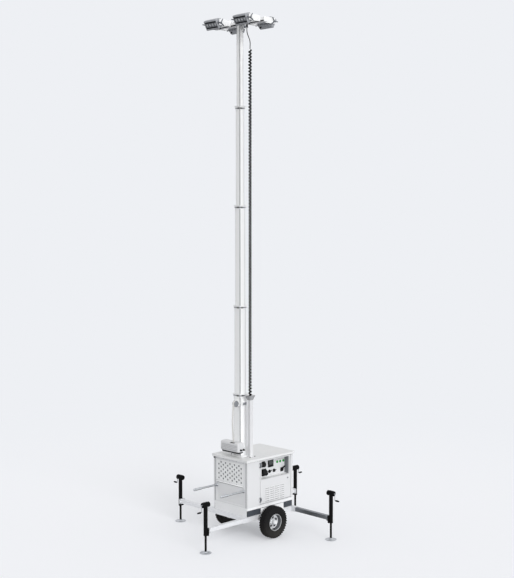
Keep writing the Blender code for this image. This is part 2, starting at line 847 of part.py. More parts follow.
def make_control_panel():
    """A recessed tray behind the door's window, with its devices in relief."""
    hinge = HINGE_Y + DOOR_GAP / 2
    low_y = hinge + WINDOW_SIDE
    high_y = hinge + DOOR_L - WINDOW_SIDE
    high_z = DOOR_TOP - WINDOW_TOP
    low_z = high_z - WINDOW_H
    back = SIDE_X - CONTROL_DEPTH
    front = SIDE_X - WALL - CONTROL_CLEAR
    wall = CONTROL_WALL

    def tray(bm):
        low = (back - wall, low_y - wall, low_z - wall)
        box(bm, low, (front, high_y + wall, high_z + wall))

    def ears(bm):
        low = (front - 2 * wall, HINGE_Y - 4 * DOOR_GAP, low_z)
        box(bm, low, (SIDE_X - WALL - SEAT, HINGE_Y - DOOR_GAP, high_z))

    def ear_bridge(bm):
        low = (front - 2 * wall, HINGE_Y - 3 * DOOR_GAP, low_z)
        box(bm, low, (front - wall / 2, low_y - wall / 2, high_z))

    def hollow(bm):
        box(bm, (back, low_y, low_z), (SIDE_X, high_y, high_z))

    panel = piece("control_panel", "white paint", tray)
    join(panel, ear_bridge, ears)
    cut(panel, hollow)

    def relief(bm):
        for along, up, width, height, proud in DEVICES:
            y = low_y + along * (high_y - low_y)
            z = low_z + up * (high_z - low_z)
            low = (back - wall / 2, y - width / 2, z - height / 2)
            box(bm, low, (back + proud, y + width / 2, z + height / 2), 0, DEVICE_ROUND)
        for along in LIGHTS_ALONG:
            y = low_y + along * (high_y - low_y)
            z = low_z + LIGHT_UP * (high_z - low_z)
            rod(bm, (back - wall / 2, y, z), (back + LIGHT_D / 2, y, z), LIGHT_D / 2, sides=12)

    join(panel, relief)


def make_generator():
    half = SIDE_X - WALL - GENERATOR_SIDE
    front = MAST_Y + MAST_W / 2 + GENERATOR_TO_MAST
    rear = FRONT_Y - WALL - GENERATOR_REAR
    floor = PAN_Z + PAN_FLOOR + SEAT

    def block(bm):
        box(bm, (-half, front, floor), (half, rear, floor + GENERATOR_H), 2, GENERATOR_ROUND)

    piece("generator_block", "frame blue grey", block)


def make_handles():
    for name, side in (("right", 1), ("left", -1)):
        x = side * HANDLE_X
        z = PANEL_Z + HANDLE_UP
        start = -FRONT_Y - SEAT

        def flange(bm):
            width, tall, thick = HANDLE_FLANGE
            box(bm, (x - width / 2, start - thick, z - tall / 2), (x + width / 2, start, z + tall / 2))

        def tube(bm):
            end = start - HANDLE_L + HANDLE_GRIP_L / 2
            rod(bm, (x, start - HANDLE_LAP, z), (x, end, z), HANDLE_D / 2)

        def grip(bm):
            end = start - HANDLE_L
            rod(bm, (x, end + HANDLE_GRIP_L, z), (x, end, z), HANDLE_GRIP_D / 2)

        handle = piece("push_handle_" + name, "zinc", flange)
        join(handle, tube, grip)


# Mast


def section_width(number):
    return MAST_W - MAST_STEP * number


def section_top(number):
    return MAST_TOP + sum(MAST_RISES[:number])


def make_mast_section(number):
    """A square tube with a collar on top and guide pads at its foot."""
    width = section_width(number)
    half = width / 2
    last = number == len(MAST_RISES)
    top = section_top(number)
    foot = MAST_FOOT if number == 0 else section_top(number - 1) - MAST_LAPS[number - 1]
    height = top - foot
    bore = half - MAST_WALL

    def tube(bm):
        box(bm, (-half, -half, 0), (half, half, height), 2, MAST_CORNER)

    def collar(bm):
        neck = half + COLLAR_NECK
        flare = (half + COLLAR_OUT) / neck
        flared_box(
            bm, (-neck, -neck, height - COLLAR_H), (neck, neck, height - COLLAR_RISE), COLLAR_RISE, flare
        )

    def guide_pads(bm):
        width_p, height_p, proud = GUIDE_PAD
        reach = half + COLLAR_NECK + proud
        low_p = height - COLLAR_RISE - height_p
        box(bm, (-reach, -width_p / 2, low_p), (reach, width_p / 2, low_p + height_p))
        box(bm, (-width_p / 2, -reach, low_p), (width_p / 2, reach, low_p + height_p))

    def pad(bm):
        reach = section_width(number - 1) / 2 - MAST_WALL - SLIDE
        box(bm, (-reach, -reach, 0), (reach, reach, PAD_H))

    def hollow(bm):
        box(bm, (-bore, -bore, -PAD_H), (bore, bore, height + PAD_H))

    def cup(bm):
        wide = half + COLLAR_OUT - COLLAR_SHEET
        steep = (wide - bore) / COLLAR_RISE
        rise = COLLAR_RISE + COLLAR_SHEET
        low = (-bore, -bore, height - COLLAR_H)
        flared_box(bm, low, (bore, bore, height - COLLAR_RISE), rise, 1 + steep * rise / bore)

    name = "mast_base" if number == 0 else "mast_section_" + str(number + 1)
    section = piece(name, "white paint", tube, at=(0, MAST_Y, foot))
    if number:
        join(section, pad)
    if not last:
        join(section, collar, guide_pads)
        cut(section, cup)
    return section, hollow, height, foot


def make_mast():
    for number in range(1, len(MAST_RISES) + 1):
        section, hollow, height, foot = make_mast_section(number)
        cut(section, hollow)

    base, hollow, height, foot = make_mast_section(0)
    flange_z = LID_TOP + SEAT - foot
    pulley_y = -(MAST_W / 2 + PULLEY_OFF)
    pulley_z = height - PULLEY_DROP
    edge = PULLEY_W / 2

    def flange(bm):
        reach = MAST_FLANGE / 2
        right = FEED_X - FEED_W / 2 - STOP_GAP
        box(bm, (-reach, -reach, flange_z), (right, reach, flange_z + MAST_FLANGE_T))

    def cheeks(bm):
        for side in (-1, 1):
            near = PULLEY_X + side * (edge + PIN_GAP)
            ends = sorted((near, near + side * CHEEK_T))
            low = (ends[0], pulley_y, pulley_z - CHEEK_D / 2)
            box(bm, low, (ends[1], -MAST_W / 2 + MAST_WALL / 2, pulley_z + CHEEK_D / 2))

    def cheek_ends(bm):
        for side in (-1, 1):
            near = PULLEY_X + side * (edge + PIN_GAP)
            start = (near, pulley_y, pulley_z)
            rod(bm, start, (near + side * CHEEK_T, pulley_y, pulley_z), CHEEK_D / 2, sides=16)

    def pin(bm):
        reach = edge + 2 * CHEEK_T
        start = (PULLEY_X - reach, pulley_y, pulley_z)
        rod(bm, start, (PULLEY_X + reach, pulley_y, pulley_z), PULLEY_PIN_D / 2, sides=12)

    def clamp(bm):
        proud, width, tall = CLAMP
        low = (MAST_W / 2 - MAST_WALL / 2, -width / 2, pulley_z - tall / 2)
        box(bm, low, (MAST_W / 2 + proud, width / 2, pulley_z + tall / 2), 0, CLAMP_ROUND)

    join(base, flange, cheeks, cheek_ends, pin, clamp)
    cut(base, hollow)

    rim = PULLEY_D / 2
    groove = rim - PULLEY_GROOVE
    bore = PULLEY_PIN_D / 2 + PIN_GAP
    flat = ROPE_D / 2 + SEAT
    slope = flat + PULLEY_GROOVE
    profile = [
        (bore, -edge), (rim, -edge), (rim, -slope), (groove, -flat),
        (groove, flat), (rim, slope), (rim, edge), (bore, edge),
    ]
    centre = (PULLEY_X, MAST_Y + pulley_y, foot + pulley_z)
    turned("mast_pulley", "steel", profile, 20, centre, (0, 90, 0))
    make_winch(MAST_Y + pulley_y, foot + pulley_z, groove)


def make_winch(pulley_y, pulley_z, groove):
    """The winch box on the mast's front, and the rope up and over the pulley."""
    back = MAST_Y - MAST_W / 2 - SEAT
    low_z = LID_TOP + WINCH_LIFT
    top = low_z + WINCH_H
    front = back - WINCH_Y
    wrap = groove + ROPE_D / 2 + SEAT
    rope_y = pulley_y - wrap

    def case(bm):
        box(bm, (WINCH_X[0], front, low_z), (WINCH_X[1], back, top), 1, WINCH_ROUND)

    def ribs(bm):
        rows, first, step, inset, proud, tall = WINCH_RIB
        for row in range(rows):
            z = low_z + WINCH_H * (first + step * row)
            low = (WINCH_X[0] + inset, front - proud, z - tall / 2)
            box(bm, low, (WINCH_X[1] - inset, front + proud, z + tall / 2))

    def glands(bm):
        across, length, apart, up = GLAND
        z = low_z + up
        for step in (-1, 1):
            y = (front + back) / 2 + step * apart / 2
            start = WINCH_X[1] - SLEEVE_WALL
            rod(bm, (start, y, z), (start + length, y, z), across / 2, sides=12)

    def slot(bm):
        half_x = WINCH_SLOT[0] / 2
        half_y = WINCH_SLOT[1] / 2
        low = (PULLEY_X - half_x, rope_y - half_y, top - WINCH_SLOT[2])
        box(bm, low, (PULLEY_X + half_x, rope_y + half_y, top + WINCH_SLOT[2]))

    winch = piece("winch_housing", "white paint", case)
    join(winch, ribs, glands)
    cut(winch, slot)

    x = PULLEY_X
    points = [(x, rope_y, top - WINCH_SLOT[2] + SEAT), (x, rope_y, (top + pulley_z) / 2)]
    for index in range(ROPE_WRAP_STEPS + 1):
        angle = math.radians(180 - ROPE_WRAP * index / ROPE_WRAP_STEPS)
        points.append((x, pulley_y + wrap * math.cos(angle), pulley_z + wrap * math.sin(angle)))
    points.append((x, back, pulley_z + wrap))
    wire("winch_rope", "steel", points, ROPE_D / 2)


def make_feed():
    """The cable tube with its funnel, and the coiled cable up to the bar."""
    half = FEED_W / 2
    bore = half - FEED_WALL
    foot = MAST_FOOT
    top = LID_TOP + FEED_ABOVE_LID
    flare = FUNNEL_W - 2 * FEED_WALL

    def tube(bm):
        low = (FEED_X - half, FEED_Y - half, foot)
        flared_box(bm, low, (FEED_X + half, FEED_Y + half, top), FUNNEL_H, FUNNEL_W / FEED_W)

    def hollow(bm):
        low = (FEED_X - bore, FEED_Y - bore, foot + 2 * FEED_WALL)
        steep = (flare - 2 * bore) / FUNNEL_H
        rise = FUNNEL_H + FEED_WALL
        high = (FEED_X + bore, FEED_Y + bore, top)
        flared_box(bm, low, high, rise, 1 + steep * rise / (2 * bore))

    tube_piece = piece("cable_tube", "white paint", tube)
    cut(tube_piece, hollow)

    coil_low = foot + 2 * FEED_WALL + SEAT
    bar_z = section_top(len(MAST_RISES)) + SEAT
    coil_top = bar_z - COIL_TO_BAR

    def coil(bm):
        rod(bm, (0, 0, 0), (0, 0, coil_top - coil_low), COIL_D / 2, sides=16)

    piece("coil_cable", "black rubber", coil, at=(FEED_X, FEED_Y, coil_low))

    points = []
    for index in range(LEAD_STEPS + 1):
        share = index / LEAD_STEPS
        swell = math.sin(share * math.pi * 2) * math.sin(share * math.pi) * LEAD_WAVE
        ease = share * share * (3 - 2 * share)
        x = FEED_X + LEAD_SHIFT[0] * ease + swell
        y = FEED_Y + LEAD_SHIFT[1] * ease
        points.append((x, y, coil_top + SEAT + share * (COIL_TO_BAR - 2 * SEAT)))
    wire("coil_lead", "black rubber", points, LEAD_D / 2)
    return bar_z


def make_lamp_bar(bar_z):
    """A channel across the mast's head, with a yoke for each floodlight."""
    half_l = BAR_L / 2
    half_w = BAR_W / 2
    pivot = LAMP_W / 2 + BOSS_L + PIN_GAP

    def channel(bm):
        box(bm, (-half_l, -half_w, 0), (half_l, half_w, BAR_H))

    def hollow(bm):
        low = (-half_l + BAR_T, -half_w + BAR_T, BAR_T)
        box(bm, low, (half_l - BAR_T, half_w - BAR_T, BAR_H + BAR_T))

    def straps(bm):
        for side_x in (-1, 1):
            for side_y in (-1, 1):
                x = side_x * LAMP_X
                ends = sorted((side_y * (half_w - BAR_T / 2), side_y * (half_w + YOKE_OUT)))
                reach = pivot + YOKE_T
                box(bm, (x - reach, ends[0], STRAP_UP), (x + reach, ends[1], STRAP_UP + YOKE_T))

    def arms(bm):
        for side_x in (-1, 1):
            for side_y in (-1, 1):
                for step in (-1, 1):
                    x = side_x * LAMP_X + step * pivot
                    across = sorted((x, x + step * YOKE_T))
                    far = side_y * (LAMP_Y + YOKE_PAST_PIVOT)
                    along = sorted((side_y * (half_w + YOKE_OUT / 4), far))
                    box(bm, (across[0], along[0], 0), (across[1], along[1], YOKE_H))

    bar = piece("lamp_bar", "white paint", channel, at=(0, MAST_Y, bar_z))
    cut(bar, hollow)
    join(bar, straps, arms)

    for depth_name, side_y in (("front", -1), ("rear", 1)):
        for side_name, side_x in (("left", -1), ("right", 1)):
            turn = (LAMP_TILT, 0, 0 if side_y < 0 else 180)
            at = (side_x * LAMP_X, MAST_Y + side_y * LAMP_Y, bar_z + LAMP_UP)
            make_floodlight("floodlight_" + depth_name + "_" + side_name, at, turn)


def make_floodlight(name, at, turn):
    """A finned lamp head that faces -Y of its own frame, about its pivot."""
    half_w = LAMP_W / 2
    half_h = LAMP_H / 2

    def case(bm):
        box(bm, (-half_w, -LAMP_FRONT, -half_h), (half_w, LAMP_BACK, half_h), 1, LAMP_ROUND)

    def fins(bm):
        for index in range(FIN_COUNT):
            x = (index - (FIN_COUNT - 1) / 2) * (LAMP_W - 4 * LAMP_FRAME) / (FIN_COUNT - 1)
            low = (x - FIN_T / 2, LAMP_BACK - FIN_T, -half_h + LAMP_FRAME)
            box(bm, low, (x + FIN_T / 2, LAMP_BACK + FIN_D, half_h - LAMP_FRAME))

    def bosses(bm):
        rod(bm, (-half_w - BOSS_L, 0, 0), (-half_w + BOSS_L, 0, 0), BOSS_D / 2, sides=12)
        rod(bm, (half_w - BOSS_L, 0, 0), (half_w + BOSS_L, 0, 0), BOSS_D / 2, sides=12)

    def face(bm):
        low = (-half_w + LAMP_FRAME, -LAMP_FRONT - LAMP_FRAME, -half_h + 2 * LAMP_FRAME)
        box(bm, low, (half_w - LAMP_FRAME, -LAMP_FRONT + LAMP_FRAME / 2, half_h - 2 * LAMP_FRAME))

    def lenses(bm):
        for index in range(LENS_COUNT):
            x = (index - (LENS_COUNT - 1) / 2) * (LAMP_W - 3 * LAMP_FRAME) / LENS_COUNT
            foot = (x, -LAMP_FRONT + LAMP_FRAME, 0)
            tip = (x, -LAMP_FRONT + SEAT, 0)
            rod(bm, foot, tip, LENS_D / 2, 12, LENS_TIP_D / 2)

    lamp = piece(name, "lamp grey", case, at=at, turn=turn)
    join(lamp, fins, bosses)
    cut(lamp, face)
    join(lamp, lenses)


# Stabilisers


def make_stabiliser(name, turn, at, reach):
    """One leg in its own frame: +X points outwards, the jack stands on Z."""
    spin = (0, 0, turn)
    half = ARM / 2
    thick, plate_w, plate_h = MOUNT_PLATE
    tube = JACK_TUBE_D / 2
    plate_out = -tube - 2 * SEAT
    inner_end = -(reach - SLEEVE_PROUD) - ARM_LAP

    def beam(bm):
        box(bm, (inner_end, -half, ARM_Z - half), (plate_out, half, ARM_Z + half))

    def plate(bm):
        low = (plate_out - thick, -plate_w / 2, ARM_Z - plate_h / 2)
        box(bm, low, (plate_out, plate_w / 2, ARM_Z + plate_h / 2))

    def hollow(bm):
        inside = half - ARM_WALL
        low = (inner_end - ARM_WALL, -inside, ARM_Z - inside)
        box(bm, low, (plate_out - thick, inside, ARM_Z + inside))

    arm = piece("arm_" + name, "zinc", beam, at=at, turn=spin)
    join(arm, plate)
    cut(arm, hollow)

    tube_low = ARM_Z - JACK_DROP
    head_z = ARM_Z + JACK_RISE - JACK_HEAD_D / 2
    bore = JACK_LEG_D / 2 + SLIDE
    crank_z = head_z - CRANK_DROP

    def casing(bm):
        rod(bm, (0, 0, tube_low), (0, 0, head_z), tube, sides=16)

    def bracket(bm):
        low = (-tube - SEAT, -BRACKET_W / 2, tube_low)
        box(bm, low, (0, BRACKET_W / 2, ARM_Z + plate_h / 2))

    def head(bm):
        rod(bm, (-JACK_HEAD_L / 2, 0, head_z), (JACK_HEAD_L / 2, 0, head_z), JACK_HEAD_D / 2, sides=16)

    def shaft(bm):
        rod(bm, (0, 0, head_z), (JACK_HEAD_L / 2 + CRANK_SHAFT, 0, head_z), CRANK_D / 2, sides=10)

    def crank(bm):
        x = JACK_HEAD_L / 2 + CRANK_SHAFT - CRANK_D
        low = (x - CRANK_D / 2, -CRANK_D, crank_z - CRANK_D)
        box(bm, low, (x + CRANK_D / 2, CRANK_D, head_z + CRANK_D))

    def grip(bm):
        x = JACK_HEAD_L / 2 + CRANK_SHAFT - CRANK_D
        rod(bm, (x, 0, crank_z), (x + GRIP_L, 0, crank_z), GRIP_D / 2, sides=12)

    def leg_bore(bm):
        rod(bm, (0, 0, tube_low - tube), (0, 0, head_z - JACK_HEAD_D / 2), bore, sides=12)

    jack = piece("jack_body_" + name, "black paint", casing, at=at, turn=spin)
    join(jack, bracket, head, shaft, crank, grip)
    cut(jack, leg_bore)

    def leg(bm):
        rod(bm, (0, 0, FOOT_T / 2), (0, 0, tube_low + JACK_LEG_LAP), JACK_LEG_D / 2, sides=12)

    def foot(bm):
        rod(bm, (0, 0, 0), (0, 0, FOOT_T), FOOT_D / 2, 20)

    def boss(bm):
        wide, narrow, tall = FOOT_BOSS
        rod(bm, (0, 0, FOOT_T / 2), (0, 0, tall), wide / 2, 12, narrow / 2)

    jack_leg = piece("jack_leg_" + name, "black paint", foot, at=at, turn=spin)
    join(jack_leg, boss, leg)


def main():
    clear_scene()
    make_sleeves()
    make_frame()
    make_axle()
    make_wheels()
    make_pan()
    make_end_panels()
    make_side("right", 0, True)
    make_side("left", 180, False)
    make_lid()
    make_control_panel()
    make_generator()
    make_handles()
    make_mast()
    bar_z = make_feed()
    make_lamp_bar(bar_z)
    for row in STABILISERS:
        make_stabiliser(*row)


main()
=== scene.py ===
# %% [markdown]
# # A mobile light tower, dressed for the studio
# The tower is a two-wheeled generator cabinet with a square telescopic mast, four
# floodlights on a cross bar and four stabilisers that slide out of the frame.
# Its solids are already packed to scale. This lesson gives every surface its finish
# and models the pieces that the plain solids only stand for.

import json
import math

import bpy
import numpy as np
from mathutils import Matrix, Vector

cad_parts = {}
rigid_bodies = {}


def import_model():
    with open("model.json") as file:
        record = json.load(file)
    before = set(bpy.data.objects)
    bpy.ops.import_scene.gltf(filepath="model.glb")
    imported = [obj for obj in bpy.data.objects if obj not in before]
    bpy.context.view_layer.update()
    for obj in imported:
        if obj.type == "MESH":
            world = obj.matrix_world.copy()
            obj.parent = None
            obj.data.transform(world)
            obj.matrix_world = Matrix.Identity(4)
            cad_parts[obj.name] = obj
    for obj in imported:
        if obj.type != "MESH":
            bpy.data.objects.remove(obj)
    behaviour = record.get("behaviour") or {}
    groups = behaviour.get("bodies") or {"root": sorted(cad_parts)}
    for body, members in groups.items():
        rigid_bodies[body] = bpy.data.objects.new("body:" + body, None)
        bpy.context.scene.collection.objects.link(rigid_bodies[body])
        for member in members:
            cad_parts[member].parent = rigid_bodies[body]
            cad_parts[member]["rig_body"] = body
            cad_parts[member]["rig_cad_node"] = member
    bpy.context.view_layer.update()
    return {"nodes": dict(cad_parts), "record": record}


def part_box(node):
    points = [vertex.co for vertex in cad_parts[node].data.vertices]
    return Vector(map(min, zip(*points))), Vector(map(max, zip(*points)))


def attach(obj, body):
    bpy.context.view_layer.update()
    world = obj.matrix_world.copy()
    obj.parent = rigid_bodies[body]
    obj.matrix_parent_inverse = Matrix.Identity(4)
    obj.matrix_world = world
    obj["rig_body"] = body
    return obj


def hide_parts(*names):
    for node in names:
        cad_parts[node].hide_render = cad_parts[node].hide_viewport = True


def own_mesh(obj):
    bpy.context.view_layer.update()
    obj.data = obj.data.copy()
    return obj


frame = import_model()
solids = frame["nodes"]

# %% [markdown]
# ## Small tools for modelling by hand
# Every operator in Blender acts on what is selected, so each tool first clears the
# selection. A finished piece has its place in its mesh and its object at the origin,
# because the patterns in the materials are measured from there.


# %% Selection and finishing tools
HALF_TURN = Matrix.Rotation(math.pi, 4, "Z")


def pick(*items):
    """Select only these objects and make the last one active."""
    bpy.ops.object.select_all(action="DESELECT")
    for item in items:
        item.select_set(True)
    bpy.context.view_layer.objects.active = items[-1]


def edit_faces(item, test):
    """Enter edit mode with the faces selected whose centre and normal pass a test."""
    pick(item)
    bpy.ops.object.mode_set(mode="EDIT")
    bpy.ops.mesh.select_mode(type="FACE")
    bpy.ops.mesh.select_all(action="DESELECT")
    bpy.ops.object.mode_set(mode="OBJECT")
    for face in item.data.polygons:
        face.select = test(face.center, face.normal)
    bpy.ops.object.mode_set(mode="EDIT")


def edit_all(item):
    """Enter edit mode with the whole mesh selected."""
    pick(item)
    bpy.ops.object.mode_set(mode="EDIT")
    bpy.ops.mesh.select_all(action="SELECT")


def edit_done():
    bpy.ops.object.mode_set(mode="OBJECT")


def towards(x, y, z):
    """A test that passes the faces which look along a direction."""
    return lambda spot, normal: normal.dot(Vector((x, y, z))) > 0.9


def taper(item, test, value, centre):
    """Resize the faces that pass a test about a point."""
    edit_faces(item, test)
    bpy.ops.transform.resize(value=value, center_override=centre)
    edit_done()


def recess(item, test, rim, push):
    """Inset the face that passes a test and push it back, so that a rim stays."""
    edit_faces(item, test)
    bpy.ops.mesh.inset(thickness=rim)
    bpy.ops.mesh.extrude_region_move(TRANSFORM_OT_translate={"value": push})
    edit_done()


def settle(name):
    """Name the new primitive and move its place and scale into its mesh."""
    item = bpy.context.active_object
    pick(item)
    bpy.ops.object.transform_apply(location=True, rotation=True, scale=True)
    item.name = name
    item.data.name = name
    return item


def apply_modifier(item, kind, **settings):
    """Add one modifier with these settings and apply it."""
    pick(item)
    step = item.modifiers.new(kind.title(), kind)
    for key, value in settings.items():
        setattr(step, key, value)
    bpy.ops.object.modifier_apply(modifier=step.name)


def bevel(item, width, segments=1, **limits):
    apply_modifier(item, "BEVEL", width=width, segments=segments, **limits)


def smooth(item, angle=35):
    """Shade smooth, apart from the edges that are sharper than the angle."""
    pick(item)
    bpy.ops.object.shade_smooth_by_angle(angle=math.radians(angle))
    return item


def soften(item, width, segments=2, angle=30):
    """Round the sharp edges, then shade smooth between them."""
    bevel(item, width, segments, limit_method="ANGLE", angle_limit=math.radians(angle), harden_normals=False)
    return smooth(item, 40)


def slab(name, low, high):
    """A box between two corners."""
    low = Vector(low)
    high = Vector(high)
    bpy.ops.mesh.primitive_cube_add(size=1, location=(low + high) / 2, scale=high - low)
    return settle(name)


def bar(name, start, end, radius, sides=24, end_radius=None):
    """A round bar, or a cone where the end radius differs."""
    start = Vector(start)
    end = Vector(end)
    run = end - start
    turn = run.to_track_quat("Z", "Y").to_euler()
    tip = radius if end_radius is None else end_radius
    bpy.ops.mesh.primitive_cone_add(
        vertices=sides, radius1=radius, radius2=tip, depth=run.length,
        location=(start + end) / 2, rotation=turn,
    )
    return settle(name)


def stub(name, spot, run, radius, sides=24, end_radius=None):
    """A round bar that starts at a point and has this run."""
    return bar(name, spot, Vector(spot) + Vector(run), radius, sides, end_radius)


def weld_pieces(name, pieces):
    """Join several meshes into one object."""
    pick(*pieces)
    if len(pieces) > 1:
        bpy.ops.object.join()
    item = bpy.context.active_object
    item.name = name
    item.data.name = name
    return item


def twin(item, name, move):
    """A copy with a mesh of its own, moved by a matrix."""
    copy = item.copy()
    copy.data = item.data.copy()
    copy.name = name
    copy.data.name = name
    copy.data.transform(move)
    bpy.context.scene.collection.objects.link(copy)
    if move.determinant() < 0:
        copy.data.flip_normals()
    return copy


def turn_about(centre, degrees, axis):
    """A turn about an axis through a centre."""
    there = Matrix.Translation(centre)
    return there @ Matrix.Rotation(math.radians(degrees), 4, axis) @ there.inverted()


def carve(item, tool):
    """Cut a tool out of a piece and throw the tool away."""
    apply_modifier(item, "BOOLEAN", operation="DIFFERENCE", solver="EXACT", object=tool)
    bpy.data.objects.remove(tool, do_unlink=True)


def spun(name, outline, centre, axis, steps=48):
    """Spin a closed outline of (radius, along) points round an axis through a centre."""
    axis = Vector(axis)
    centre = Vector(centre)
    across = axis.orthogonal().normalized()
    bpy.ops.mesh.primitive_circle_add(vertices=len(outline), radius=0.01)
    item = settle(name)
    for vertex, (radius, along) in zip(item.data.vertices, outline):
        vertex.co = centre + across * radius + axis * along
    edit_all(item)
    bpy.ops.mesh.spin(steps=steps, angle=2 * math.pi, center=centre, axis=axis)
    bpy.ops.mesh.select_all(action="SELECT")
    bpy.ops.mesh.remove_doubles(threshold=0.00001)
    bpy.ops.mesh.normals_make_consistent(inside=False)
    edit_done()
    return smooth(item)


def mesh_of_rings(name, rings):
    """A closed skin through rings of points, with a cap on each end."""
    sides = len(rings[0])
    faces = []
    for start in range(0, (len(rings) - 1) * sides, sides):
        for index in range(sides):
            after = (index + 1) % sides
            faces.append((start + index, start + after, start + sides + after, start + sides + index))
    last = (len(rings) - 1) * sides
    faces += [tuple(range(sides - 1, -1, -1)), tuple(range(last, last + sides))]
    mesh = bpy.data.meshes.new(name)
    mesh.from_pydata([tuple(point) for ring in rings for point in ring], [], faces)
    item = bpy.data.objects.new(name, mesh)
    bpy.context.scene.collection.objects.link(item)
    return item


def flat_faces(item):
    """Let the large faces rule the normals, so that only rounded edges shade as curves."""
    apply_modifier(item, "WEIGHTED_NORMAL", weight=80, keep_sharp=True)
    return item


def repaint(item, material, test):
    """Give the faces whose centre and normal pass a test a second material."""
    item.data.materials.append(material)
    for face in item.data.polygons:
        if test(face.center, face.normal):
            face.material_index = 1


def rounded_copy(node, width, segments=2, angle=30):
    """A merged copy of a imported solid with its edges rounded, to stand for it."""
    item = twin(solids[node], node + "_skin", Matrix.Identity(4))
    item.parent = None
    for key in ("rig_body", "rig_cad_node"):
        if key in item:
            del item[key]
    item.data.materials.clear()
    edit_all(item)
    bpy.ops.mesh.remove_doubles(threshold=0.00002)
    bpy.ops.mesh.dissolve_limited(angle_limit=math.radians(0.5))
    edit_done()
    soften(item, width, segments, angle)
    return flat_faces(item)


# %% [markdown]
# ## Finishes as node groups
# Powder coat, settled dust, zinc plate and rubber grain each appear on many pieces.
# Each is built once as a shader group with named inputs, and a material places it
# with its own values. The shader itself stays in the material.


# %% Colour and node tools
def tone(red, green, blue):
    """A colour given as it looks on screen, turned into the shader's linear scale."""
    linear = []
    for value in (red, green, blue):
        share = value / 255
        linear.append(share / 12.92 if share <= 0.04045 else ((share + 0.055) / 1.055) ** 2.4)
    return (*linear, 1.0)


def new_group(name, inputs, outputs):
    """An empty shader group with its sockets, and its two end nodes."""
    tree = bpy.data.node_groups.new(name, "ShaderNodeTree")
    for label, kind, value in inputs:
        socket = tree.interface.new_socket(label, in_out="INPUT", socket_type=kind)
        socket.default_value = value
    for label, kind in outputs:
        tree.interface.new_socket(label, in_out="OUTPUT", socket_type=kind)
    source = tree.nodes.new("NodeGroupInput")
    sink = tree.nodes.new("NodeGroupOutput")
    return tree, source, sink


def hand_out(tree, sink, **results):
    """Link each result to the group output of the same name."""
    for label, socket in results.items():
        tree.links.new(socket, sink.inputs[label])
    return tree


def add_node(tree, kind, **settings):
    node = tree.nodes.new(kind)
    for key, value in settings.items():
        setattr(node, key, value)
    return node


def math_node(tree, operation, first, second, clamp=False):
    """A maths node fed by sockets or plain numbers."""
    node = add_node(tree, "ShaderNodeMath", operation=operation, use_clamp=clamp)
    for slot, value in enumerate((first, second)):
        if isinstance(value, (int, float)):
            node.inputs[slot].default_value = value
        else:
            tree.links.new(value, node.inputs[slot])
    return node.outputs[0]


def noise_node(tree, coordinates, scale, detail=2.0):
    node = add_node(tree, "ShaderNodeTexNoise")
    node.inputs["Detail"].default_value = detail
    if isinstance(scale, (int, float)):
        node.inputs["Scale"].default_value = scale
    else:
        tree.links.new(scale, node.inputs["Scale"])
    tree.links.new(coordinates, node.inputs["Vector"])
    return node.outputs["Fac"]


def mix_colour(tree, share, first, second):
    node = add_node(tree, "ShaderNodeMix", data_type="RGBA")
    # A mix node's sockets 0, 6 and 7 are its factor and its two colours
    for socket, value in zip((node.inputs[index] for index in (0, 6, 7)), (share, first, second)):
        if isinstance(value, (tuple, float, int)):
            socket.default_value = value
        else:
            tree.links.new(value, socket)
    return node.outputs[2]


# %% [markdown]
# Powder coat is never one flat colour: the film is a little thicker here and there,
# and its surface has a fine orange peel. Slow noise shifts the tone and the gloss, and
# fast noise gives the height for a bump.


# %% Powder coat group
def make_coat_group():
    tree, source, sink = new_group(
        "Powder coat",
        [("Colour", "NodeSocketColor", (0.8, 0.8, 0.8, 1)), ("Shade", "NodeSocketColor", (0.7, 0.7, 0.7, 1)),
         ("Gloss", "NodeSocketFloat", 0.4), ("Peel scale", "NodeSocketFloat", 700.0)],
        [("Colour", "NodeSocketColor"), ("Roughness", "NodeSocketFloat"), ("Height", "NodeSocketFloat")],
    )
    place = add_node(tree, "ShaderNodeTexCoord").outputs["Object"]
    slow = noise_node(tree, place, 2.3, 4)
    cloud = math_node(tree, "MULTIPLY", slow, slow, True)
    colour = mix_colour(tree, cloud, source.outputs["Colour"], source.outputs["Shade"])
    patchy = math_node(tree, "MULTIPLY", noise_node(tree, place, 11.0, 3), 0.16)
    rough = math_node(tree, "ADD", source.outputs["Gloss"], patchy, True)
    peel = noise_node(tree, place, source.outputs["Peel scale"], 1)
    return hand_out(tree, sink, Colour=colour, Roughness=rough, Height=peel)


coat_group = make_coat_group()

# %% [markdown]
# Dust settles low down, thrown up by the tyres, and on faces that look upwards. The
# group mixes a dust colour by height above the ground and by the way a face points.


